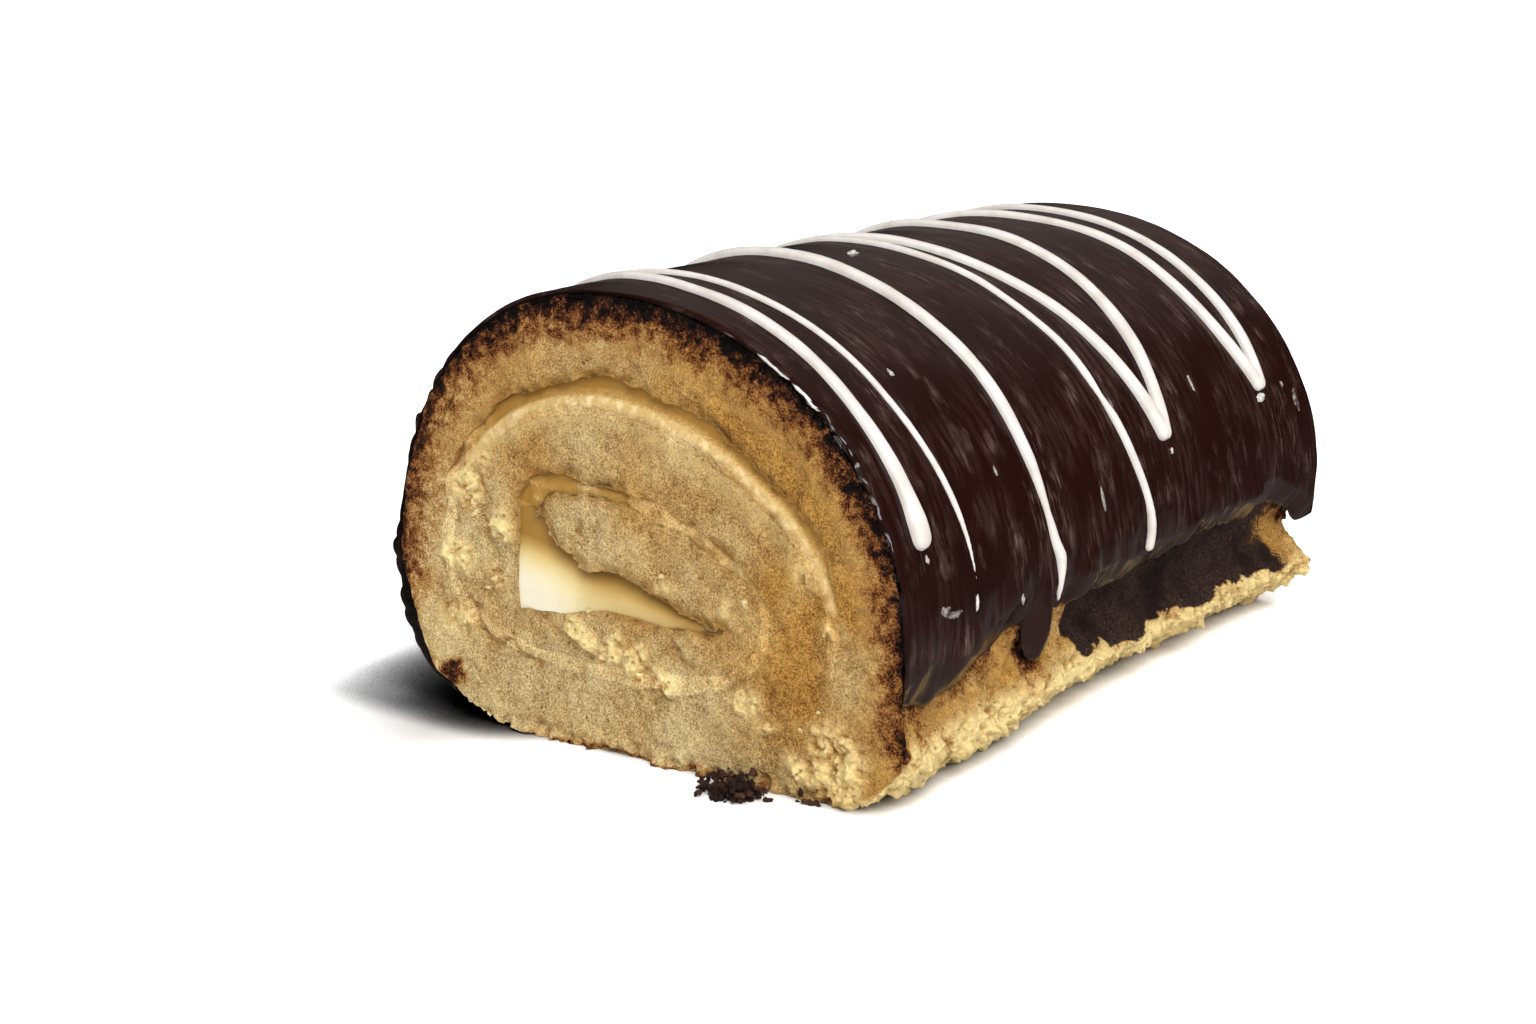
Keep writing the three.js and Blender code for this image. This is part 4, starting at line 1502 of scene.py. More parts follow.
    def cracked(self, points: Array) -> Array:
        """Depth of the torn crevices that run over the cut faces.

        Args:
            points: Places in space.

        Returns:
            Depths in millimetres.
        """
        flat = points[:, [0, 2]] + 1.3 * Noise.vector(points, 2.6, self.seed + 100, 2, 4)
        depth = np.zeros(len(points))
        for wide, deep, *stops in self.cracks:
            away, _ = line_distance(flat, spline(np.reshape(stops, (-1, 2)), 24), closed=False)
            depth = np.maximum(depth, 0.5 * deep * smoothstep(1.1 * wide, 0.1 * wide, away))
        return depth

    def masks(self, points: Array, height: Array, torn: Array) -> dict[str, Array]:
        """Masks that the crumb's finish reads.

        Args:
            points: Places in space.
            height: Height of the relief there.
            torn: How torn they are.

        Returns:
            The masks by name.
        """
        warm = 0.85 * smoothstep(2.0, 32.0, points[:, 0]) + 0.55 * smoothstep(27.0, 45.0, points[:, 2])
        warm += 0.6 * bump(np.hypot(points[:, 0], points[:, 2] - 27.0), 16.0)
        warm = np.clip(warm + 0.35 * Noise.rough(points, 9.0, self.seed + 80, 2), 0.0, 1.0)
        # The relief mask paints light and shade into the crumb's colour: high places lighter, low ones
        # darker.
        return {"relief": np.clip(0.5 + height * 0.65, 0.0, 1.0), "warm": warm, "torn": torn}


@dataclass
class RolledSponge:
    """The rolled sponge with both cut faces, the cream's slot, the flank and the foot."""

    outline: SpongeOutline
    path: CreamPath
    slot: Array
    relief: CrumbRelief
    face_step: float = 0.42
    wall_step: float = 0.47
    stations: int = 128
    under_rows: int = 28
    seed: int = 11
    crust: tuple = (  # angle from the crest, how far outside the coat the toasting starts, its reach
        (-140, 8.0, 10), (-125, 6.0, 10), (-105, 4.5, 10), (-92, 4.8, 14), (-75, 4.6, 16.5),
        (-50, 4.6, 16.5), (-32, 0.9, 10.5), (-2, -0.2, 10), (25, -0.2, 10), (45, 0.5, 10), (65, 1.3, 10),
        (85, 1.6, 10), (110, 2.2, 10), (117, 7.0, 10), (125, 10.0, 10),
    )
    lump_rise: tuple = ((0.0, 40.0, 60.0), (1.2, 1.3, 1.25))

    def wall_spacing(self, flat: Array) -> Array:
        """Net spacing on the outer wall: fine near the cuts and on the bare flanks.

        Args:
            flat: Rolled-out places on the wall.

        Returns:
            One spacing for each place.
        """
        from_cut = self.outline.section.from_cut(flat[:, 1])
        spacing = 0.5 + 0.55 * np.maximum(from_cut - 1.0, 0.0)
        bare = (flat[:, 0] < self.flank_reach) | (flat[:, 0] > self.under_from)
        return np.minimum(spacing, np.where(bare, 0.52, 4.4))

    def build(self) -> bpy.types.Object:
        """Builds and dresses the sponge.

        Returns:
            The piece.
        """
        cut, steps, stations = self.outline.section, self.outline, self.stations
        loops = np.stack([self.outline.at(cut.length * i / stations) for i in range(stations + 1)])
        along = arc_lengths(loops[0], closed=True)
        closed = np.concatenate([loops, loops[:, :1]], axis=1)
        to_under = steps.flank_steps + steps.right_steps + steps.left_steps + self.under_rows
        self.flank_reach = along[steps.flank_steps] + 1.0
        self.under_from = along[to_under]
        shell = Shell()
        for end, loop in ((0, loops[0]), (1, loops[-1])):
            step = self.face_step
            flat, faces = Net.patch([loop, self.slot], step, 0.55 * step, self.seed + end)
            shell.add(in_space(flat, cut.front_y + end * cut.length), faces, turned=end == 1)
        flat, faces = Net.wall(along, cut.length, self.wall_step, self.wall_spacing, self.seed + 5)
        station = np.clip(flat[:, 1] / cut.length * stations, 0.0, stations)
        low = np.minimum(station.astype(int), stations - 1)
        index = np.interp(flat[:, 0], along, np.arange(len(along)))
        left = np.minimum(index.astype(int), len(along) - 2)
        part = (index - left)[:, None]
        rows = [closed[side, left] * (1.0 - part) + closed[side, left + 1] * part for side in (low, low + 1)]
        mixed = rows[0] + (rows[1] - rows[0]) * (station - low)[:, None]
        shell.add(in_space(mixed, cut.front_y + flat[:, 1]), faces, turned=True)
        tunnel, tunnel_faces = slot_wall(self.slot, cut, self.seed + 6)
        shell.add(tunnel, tunnel_faces)
        points, faces = shell.merged()
        shaped, masks = self.shape(points, normals_of(points, faces), loops)
        return finished("sponge_crumb", shaped, faces, masks, SpongeFinish(), "sponge", "sponge")


    def shape(self, points: Array, normals: Array, loops: Array) -> tuple[Array, dict[str, Array]]:
        """Raises crumb, pores, torn clumps and lumps, and works out the finish's masks.

        Args:
            points: Smooth points of the whole sponge.
            normals: Their normals.
            loops: Outlines at every station; not used.

        Returns:
            The shaped points and the masks by name.
        """
        cut = self.outline.section
        distance = points[:, 1] - cut.front_y
        from_cut = cut.from_cut(distance)
        on_face = from_cut < ON_FACE
        flat = points[:, [0, 2]]
        round_angles = np.radians(np.linspace(-140.0, 125.0, 531))
        from_crust, crust_index = line_distance(flat, cut.point(round_angles, 0.0), closed=False)
        from_slot, slot_index = line_distance(flat, self.slot)
        edge = np.where(points[:, 0] > 0.0, ChocolateCoat.right_edge(cut, distance),
                        ChocolateCoat.left_edge(cut, distance))
        in_slot = (from_slot < 0.02) & ~on_face
        hidden = ~on_face & ~in_slot & (from_crust < 3.3) & (points[:, 2] > edge - 0.4)
        on_flank = ~on_face & ~hidden & ~in_slot & (points[:, 2] > 0.02)

        normals[on_face] = in_space(0.0 * flat, np.sign(distance - 1.0))[on_face]
        torn = self.relief.torn_share(points) * on_face
        foot = on_flank * smoothstep(11.5, 8.0, points[:, 2])
        height = self.relief.height(points, np.maximum(torn, 0.6 * on_flank))
        height += on_face * smoothstep(3.4, 0.6, points[:, 2]) * 1.2 * Noise.rough(points, 2.0, self.seed + 4)
        sunk, covered, _, _ = self.path.state(self.slot)
        bare = (sunk * (1.0 - covered))[slot_index]
        lip = np.clip(bare, 0.0, 1.2) * (0.5 + 0.6 * Noise.rough(points, 2.5, self.seed + 3))
        height -= on_face * lip * np.exp(-((from_slot / 1.0) ** 2))
        height -= on_face * 0.3 * smoothstep(1.8, 0.7, from_crust)
        warped = points + 0.5 * Noise.vector(points, 2.5, self.seed + 6, 3, 2)
        lumps = -0.4
        for size, rise in ((2.7, 0.8), (1.4, 0.55)):
            first, _, owner = Noise.cells(warped, size, self.seed + int(size * 10.0))
            lumps = lumps + rise * np.maximum(0.0, 1.0 - first * first * 1.8) * (0.2 + owner)
        height += foot * lumps * np.interp(distance, *self.lump_rise)
        height += on_flank * 0.3 * Noise.rough(points, 1.6, self.seed + 15)
        skin = self.stain(points, distance, lumps) * on_flank
        height = height * (1.0 - 0.45 * smoothstep(0.3, 0.6, skin)) - 0.1 * skin
        height = np.where(hidden, np.minimum(height, 0.0) - 0.1, height)
        height = np.where(in_slot, height * 0.4 * smoothstep(0.0, 3.0, from_cut), height)
        shaped = points + normals * height[:, None]
        shaped[:, 2] = np.maximum(shaped[:, 2], 0.0)

        uneven = 0.9 * Noise.rough(points, 3.6, self.seed + 80)
        uneven = uneven + 0.8 * Noise.rough(points, 1.7, self.seed + 81, 2)
        crust = np.array(self.crust).T
        start, reach = (np.interp(np.degrees(round_angles[crust_index]), crust[0], row) for row in crust[1:])
        toast = np.clip(1.0 - (from_crust + start + uneven) / reach, 0.0, 1.0)
        bottom = 0.5 * smoothstep(1.3, 0.1, points[:, 2] + 0.6 * uneven)
        bottom = bottom * smoothstep(30.0, 20.0, points[:, 0])
        spot = np.hypot(points[:, 0] + 34.5, points[:, 2] - 6.3)
        spot = 0.66 * smoothstep(3.0, 1.2, spot + 0.8 * uneven)
        toast = np.where(on_face, np.maximum(toast, np.maximum(bottom, spot)), toast)
        toast = np.where(on_flank, self.flank_toast(points, edge, distance), toast)
        # Painted shade: the groove mask darkens the crumb beside the slot and along the cracks.
        groove = on_face * np.exp(-((from_slot / 1.0) ** 2)) * np.clip(bare * 0.45, 0.0, 0.75)
        groove = np.maximum(groove, on_face * 0.5 * self.relief.cracked(points))
        # Painted shade on the slot's walls, away from the cut.
        recess_shade = 0.9 * smoothstep(-0.5, 1.8, from_cut) * (1.0 - covered)[slot_index]
        groove = np.where(in_slot, recess_shade, groove)
        masks = self.relief.masks(points, height, np.maximum(torn, foot))
        masks["warm"] *= 1.0 - 0.35 * foot * smoothstep(90.0, 40.0, distance)
        # Painted light: the foot is made lighter towards the front by raising its relief mask.
        masks["relief"] = np.clip(masks["relief"] + 0.16 * foot * smoothstep(90.0, 50.0, distance), 0.0, 1.0)
        smeared = self.path.smeared(flat, from_slot) * on_face
        masks.update(toast=toast, groove=groove * (1.0 - smeared), skin=skin, smeared=smeared)
        return shaped, masks

    def stain(self, points: Array, distance: Array, lumps: Array) -> Array:
        """Dark chocolate stain on the necked flank, between the coat and the pale foot.

        Args:
            points: Places in space.
            distance: Their distances from the front.
            lumps: Height of the foot's lumps there.

        Returns:
            One share for each place.
        """
        ragged = 1.1 * Noise.rough(points, 5.0, self.seed + 90)
        near = 1.5 * smoothstep(64.0, 50.0, distance)
        lower = np.where(points[:, 0] > 0.0, 9.0 + near, 8.0) + ragged + 1.0 * lumps
        along = smoothstep(49.5, 52.0, distance + 1.5 * ragged)
        along = along * smoothstep(122.0, 112.0, distance + 3.0 * ragged)
        band = smoothstep(lower - 0.6, lower + 0.6, points[:, 2])
        return band * np.where(points[:, 0] > 0.0, along, smoothstep(-0.6, 0.6, ragged))

    def flank_toast(self, points: Array, edge: Array, distance: Array) -> Array:
        """Toasting below the coat's lip, strongest at the lip and at the cut corner.

        Args:
            points: Places in space.
            edge: Height of the coat's lower edge beside each.
            distance: Their distances from the front.

        Returns:
            One share for each place.
        """
        streaks = Noise.rough(points * np.array([1.0, 1.0, 0.7]), 2.4, self.seed + 95)
        share = 0.5 - (edge - points[:, 2]) * 0.075 + 0.3 * streaks
        corner = smoothstep(3.0, 0.4, distance + 0.8 * streaks) * smoothstep(6.0, 9.0, points[:, 2])
        share = np.clip(np.maximum(share, 0.72 * corner), 0.0, 0.8)
        return share * smoothstep(3.5, 7.0, points[:, 2])


def slot_wall(slot: Array, cut: RollSection, seed: int) -> tuple[Array, Array]:
    """Wall of the cream's slot, through the whole roll.

    Args:
        slot: Loop of the slot.
        cut: Section of the roll.
        seed: Picks the random shifts.

    Returns:
        Points in space and triangles that face into the slot.
    """
    along = arc_lengths(slot, closed=True)
    closed = np.vstack([slot, slot[:1]])

    def spacing(flat: Array) -> Array:
        """Fine near the cuts and coarse inside."""
        return np.minimum(0.45 + 0.6 * np.maximum(cut.from_cut(flat[:, 1]) - 1.5, 0.0), 6.0)

    flat, faces = Net.wall(along, cut.length, 0.45, spacing, seed)
    section = np.stack([np.interp(flat[:, 0], along, closed[:, i]) for i in range(2)], axis=1)
    return in_space(section, cut.front_y + flat[:, 1]), faces


def tied(piece: bpy.types.Object, finish: Finish, replaced: str) -> bpy.types.Object:
    """Dresses a piece and ties it to the frame.

    Args:
        piece: The piece.
        finish: Finish to wear.
        replaced: Node that the piece stands in for, or an empty name.

    Returns:
        The same piece.
    """
    piece.data.materials.append(finish.material)
    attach(piece, BODY)
    if replaced:
        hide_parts(replaced)
    return piece


def finished(name: str, points: Array, faces: Array, masks: dict[str, Array], finish: Finish,
             replaced: str, slot: str) -> bpy.types.Object:
    """Makes a piece of points, faces and masks, dresses it and ties it to the frame."""
    return tied(make_object(name, points, faces, masks), finish, replaced)


@dataclass
class CreamFilling:
    """Cream spiral and pocket, set back from both cut faces."""

    section: RollSection
    path: CreamPath
    slot: Array
    relief: CrumbRelief
    seed: int = 211
    fade: float = 12.0
    step: float = 0.38

    def build(self) -> bpy.types.Object:
        """Builds and dresses the cream.

        Returns:
            The piece.
        """
        cut = self.section
        flat, faces = Net.patch([self.slot], self.step, 0.5 * self.step, self.seed)
        shell = Shell()
        for end in range(2):
            shell.add(in_space(flat, cut.front_y + end * cut.length), faces, turned=end == 1)
        wall, wall_faces = slot_wall(self.slot, cut, self.seed + 2)
        shell.add(wall, wall_faces, turned=True)
        points, faces = shell.merged()
        distance = points[:, 1] - cut.front_y
        from_cut = cut.from_cut(distance)
        on_face = from_cut < ON_FACE
        depth, crumbed, pocket, looks = self.path.state(points[:, [0, 2]])
        torn = self.relief.torn_share(points) * on_face
        height = self.relief.height(points, torn) * crumbed
        height += (1.0 - crumbed) * 0.16 * Noise.rough(points, 5.0, self.seed + 3, 2)
        side = np.where(distance < cut.length / 2.0, 1.0, -1.0)
        points[:, 1] += side * (depth - height * on_face) * np.clip(1.0 - from_cut / self.fade, 0.0, 1.0)
        masks = self.relief.masks(points, height, torn)
        # The depth mask sets how much painted shade the cream's colour gets.
        masks.update(depth=np.clip(looks, 0.0, 1.0), crumbed=crumbed, pocket=pocket)
        return finished("cream_filling", points, faces, masks, CreamFinish(), "cream", "cream")


@dataclass
class ChocolateCoat:
    """Poured chocolate shell with a rounded, dripping lower lip and broken cut rims."""

    section: RollSection
    rim_radius: float = 0.7
    around: int = 300
    stations: int = 240
    seed: int = 307
    lip_reach: tuple = ((0.0, 16.0, 30.0, 128.0), (5.8, 5.6, 4.0, 3.6))

    RIGHT_HEIGHT = 19.2
    RIGHT_WAVES = (Wave(10.0, 20.0, -5.5, 0.7), Wave(37.4, 4.2, -6.4, 0.25), Wave(90.0, 36.0, 1.6),
                   Wave(112.0, 9.0, 1.9), Wave(125.5, 6.0, -3.4))
    LEFT_HEIGHT = 10.0
    LEFT_WAVES = (Wave(0.0, 16.0, -6.5), Wave(42.0, 5.0, -4.0), Wave(64.0, 15.0, 2.6), Wave(89.0, 6.0, -4.6),
                  Wave(122.0, 15.0, -2.0))

    @classmethod
    def right_edge(cls, cut: RollSection, distance: Array) -> Array:
        """Height of the right lower edge along the roll."""
        return cut.edge_height(cls.RIGHT_HEIGHT, cls.RIGHT_WAVES, distance)

    @classmethod
    def left_edge(cls, cut: RollSection, distance: Array) -> Array:
        """Height of the left lower edge along the roll."""
        return cut.edge_height(cls.LEFT_HEIGHT, cls.LEFT_WAVES, distance)

    def __post_init__(self) -> None:
        """Works out how arc length follows the angle."""
        self.angles = np.radians(np.linspace(-150.0, 150.0, 1201))
        self.arcs = arc_lengths(self.section.point(self.angles, 0.0))
        self.arcs -= np.interp(0.0, self.angles, self.arcs)

    def edges(self, distance: Array) -> tuple[Array, Array]:
        """Arc places of the left and the right lower edge.

        Args:
            distance: Distances from the front.

        Returns:
            Left and right arc places.
        """
        cut = self.section
        place = np.stack([distance, 0.0 * distance, 0.0 * distance], axis=1)
        small = 0.3 * Noise.rough(place, 3.0, self.seed + 9)
        left = cut.angle_at(self.left_edge(cut, distance), right=False)
        right = cut.angle_at(self.right_edge(cut, distance), right=True)
        return tuple(np.interp(angle, self.angles, self.arcs) + small for angle in (-left, right))

    def waves(self, arc: Array, distance: Array) -> Array:
        """Gentle unevenness of the poured surface, drawn out round the roll.

        Args:
            arc: Arc places.
            distance: Distances from the front.

        Returns:
            Height above the plain surface.
        """
        place = np.stack([arc, distance, np.zeros(len(arc))], axis=1)
        slow = 0.22 * Noise.rough(place * np.array([0.8, 1.0, 1.0]), 17.0, self.seed, 2)
        flow = Noise.rough(place * np.array([0.16, 1.0, 1.0]), 2.6, self.seed + 1, 2)
        patch = smoothstep(0.0, 0.6, Noise.rough(place, 15.0, self.seed + 2, 2))
        first, _, owner = Noise.cells(place * np.array([0.36, 1.0, 1.0]), 1.7, self.seed + 3)
        flecks = np.where(owner > 0.93, np.maximum(0.0, 1.0 - (first / 0.4) ** 2), 0.0) * patch
        from_cut = self.section.from_cut(distance)
        rough = bump(arc + 62.0, 42.0) * smoothstep(5.0, 1.0, from_cut)
        knobs, _, knob_owner = Noise.cells(place, 3.0, self.seed + 4)
        crust = 1.7 * rough * np.maximum(0.0, 1.0 - knobs * knobs * 2.0) * knob_owner
        beads = 0.4 * bump(arc - 44.0, 26.0) * smoothstep(1.6, 0.3, distance)
        beads = beads * Noise.rough(place, 2.2, self.seed + 5)
        return slow + 0.05 * flow * patch + 0.12 * flecks + crust + beads

    def inset(self, arc: Array, distance: Array) -> Array:
        """How far the finished surface lies inside the plain outline, without the lip.

        Args:
            arc: Arc places.
            distance: Distances from the front.

        Returns:
            One inset for each place.
        """
        from_cut = self.section.from_cut(distance)
        short = np.maximum(self.rim_radius - from_cut, 0.0)
        rounded = self.rim_radius - np.sqrt(np.maximum(self.rim_radius ** 2 - short ** 2, 0.0))
        return rounded - self.waves(arc, distance)

    def surface(self, angle: Array, distance: Array, lift: float) -> Array:
        """Points above the finished outer surface.

        Args:
            angle: Angles from the crest.
            distance: Distances from the front.
            lift: Height above the surface.

        Returns:
            Points in space.
        """
        arc = np.interp(angle, self.angles, self.arcs)
        flat = self.section.point(angle, self.inset(arc, distance) - lift)
        return in_space(flat, self.section.front_y + distance)

    def outward(self, angle: Array) -> Array:
        """Directions out of the roll, about a millimetre long, at angles from the crest."""
        return in_space(self.section.point(angle, -1.0) - self.section.point(angle, 0.0), 0.0)

    def placed(self, arc: Array, distance: Array, from_edge: Array | None) -> Array:
        """Points of the coat's outer or inner side.

        Args:
            arc: Arc places.
            distance: Distances from the front.
            from_edge: Distances from the lower edge, or nothing for the inner side.

        Returns:
            Points in space.
        """
        angle = np.interp(arc, self.arcs, self.angles)
        full = self.section.thickness(angle, distance)
        inset = full
        if from_edge is not None:
            place = np.stack([0.5 * arc, distance, np.zeros(len(arc))], axis=1)
            uneven = Noise.rough(place, 8.0, self.seed + 7, 2)
            fall = 1.0 - from_edge / (np.interp(distance, *self.lip_reach) * (1.0 + 0.35 * uneven))
            crisp = 0.5 * (fall + np.sqrt(fall * fall + 0.006))
            lip = (full - 0.25) * crisp + 0.25 * smoothstep(0.5, 0.0, from_edge)
            dents = 0.45 * smoothstep(11.0, 5.0, from_edge) * Noise.rough(place, 5.5, self.seed + 8, 2)
            inset = lip + dents + self.inset(arc, distance) * smoothstep(2.0, 6.0, from_edge)
            inset = np.minimum(inset, full)
        y = self.section.front_y + distance + self.rim_shift(arc, distance)
        return in_space(self.section.point(angle, inset), y)

    def build(self) -> bpy.types.Object:
        """Builds and dresses the coat.

        Returns:
            The piece.
        """
        cut = self.section
        near = np.array([0.0, 0.08, 0.2, 0.36, 0.56, 0.8, 1.15, 1.6])
        middle = np.linspace(2.1, cut.length - 2.1, self.stations)
        stations = np.concatenate([near, middle, cut.length - near[::-1]])
        left, right = self.edges(stations)
        share = np.linspace(0.0, 1.0, self.around + 1)
        ease = share - 0.07 * np.sin(2.0 * np.pi * share)
        arc = left[:, None] + (right - left)[:, None] * ease[None, :]
        along = np.repeat(stations[:, None], self.around + 1, axis=1)
        grid = np.stack([arc.ravel(), along.ravel()], axis=1)
        from_edge = self.from_edge(grid)
        number = np.arange(arc.size).reshape(arc.shape)
        from_edge[number[:, [0, -1]]] = 0.0
        outer = self.placed(grid[:, 0], grid[:, 1], from_edge)
        shell = Shell()
        shell.add(outer, woven(number))
        rim = np.concatenate([number[0], number[1:-1, -1], number[-1, ::-1], number[-2:0:-1, 0]])
        loop = grid[rim]
        flat, faces = Net.patch([loop], 3.0, 1.0, self.seed)
        inner = self.placed(flat[:, 0], flat[:, 1], None)
        shell.add(inner, faces, turned=True)
        for row, turned in ((0, False), (len(stations) - 1, True)):
            inner_rim = self.placed(arc[row], along[row], None)
            place, place_faces = self.cut_rim(outer[number[row]], inner_rim, row)
            shell.add(place, place_faces, turned)
        points, faces = shell.merged()
        return finished("chocolate_coat_poured", points, faces, self.masks(points), CoatFinish(),
                        "chocolate_coat", "chocolate")

    def from_edge(self, grid: Array) -> Array:
        """Distance of rolled-out places from the nearer lower edge.

        Args:
            grid: Arc place and distance to a row.

        Returns:
            One distance for each place.
        """
        places = np.linspace(0.0, self.section.length, 520)
        return np.minimum(*(line_distance(grid, np.stack([side, places], axis=1), closed=False)[0]
                            for side in self.edges(places)))

    def rim_shift(self, arc: Array, distance: Array) -> Array:
        """Unevenness of the broken rims along the roll, gone a little way in.

        Args:
            arc: Arc places.
            distance: Distances from the front.

        Returns:
            One shift along Y for each place.
        """
        from_cut = self.section.from_cut(distance)
        side = np.where(distance < self.section.length / 2.0, 1.0, -1.0)
        place = np.stack([arc, 0.0 * arc, 20.0 * side], axis=1)
        chips = 0.22 * Noise.rough(place, 5.0, self.seed + 30)
        chips += 0.35 * Noise.rough(place, 1.4, self.seed + 31) * bump(arc - 44.0, 26.0) * (side > 0.0)
        return side * (0.25 + chips) * np.clip(1.0 - from_cut / 2.0, 0.0, 1.0)

    def cut_rim(self, outer: Array, inner: Array, seed: int) -> tuple[Array, Array]:
        """Rough cut edge of the coat between its outer and inner side.

        Args:
            outer: Outer rim points from left to right.
            inner: Inner rim points from left to right.
            seed: Picks the roughness.

        Returns:
            Points in space and triangles facing -Y.
        """
        steps = 3
        share = np.linspace(0.0, 1.0, steps + 1)
        points = outer[None, :, :] + (inner - outer)[None, :, :] * share[:, None, None]
        flat = points.reshape(-1, 3)
        rough = 0.15 * Noise.rough(flat, 1.1, self.seed + 40 + seed)
        rough = rough + 0.1 * Noise.rough(flat, 3.0, self.seed + 50)
        flat[:, 1] += rough * np.repeat(np.sin(share * np.pi), len(outer))
        return flat, woven(np.arange(len(flat)).reshape(steps + 1, len(outer)))[:, ::-1]

    def masks(self, points: Array) -> dict[str, Array]:
        """Masks of the coat: its cut rims, the painted highlight along their chipped edge, its lip and its
        rolled-out places.

        Args:
            points: Points of the whole coat.

        Returns:
            The masks by name.
        """
        cut = self.section
        away, index = nearest(points[:, [0, 2]], cut.point(self.angles, 0.0))
        distance = points[:, 1] - cut.front_y
        from_cut = cut.from_cut(distance)
        rim = smoothstep(0.75, 0.45, from_cut) * smoothstep(0.3, 0.6, away)
        rim = np.maximum(rim, bump(self.arcs[index] + 62.0, 42.0) * smoothstep(3.0, 1.0, from_cut) * 0.7)
        flow = np.stack([self.arcs[index], distance, 0.0 * distance], axis=1)
        broken = smoothstep(-0.15, 0.25, Noise.rough(flow * np.array([1.0, 3.0, 1.0]), 5.0, self.seed + 60))
        # Painted highlight: a broken white line along the front rim.
        gleam = broken * bump(flow[:, 0] - 42.0, 34.0) * bump(from_cut - 0.2, 0.26) * (away < 0.6)
        lip = smoothstep(0.2, -0.2, self.from_edge(flow[:, :2]) - np.interp(distance, *self.lip_reach))
        return {"cut": rim * (1.0 - gleam), "flow": flow, "lip": lip, "gleam": gleam}


def woven(number: Array) -> Array:
    """Triangles over a grid.

    Args:
        number: Vertex numbers of the grid.

    Returns:
        The triangles.
    """
    corners = (number[:-1, :-1], number[:-1, 1:], number[1:, 1:], number[1:, :-1])
    a, b, c, d = (corner.ravel() for corner in corners)
    return np.vstack([np.stack([a, b, c], axis=1), np.stack([a, c, d], axis=1)])


@dataclass(frozen=True)
class IcingLeg:
    """One pass of icing over the roll: its route and its width at shares of the way."""

    route: tuple[tuple[float, float], ...]
    widths: tuple[tuple[float, float], ...]


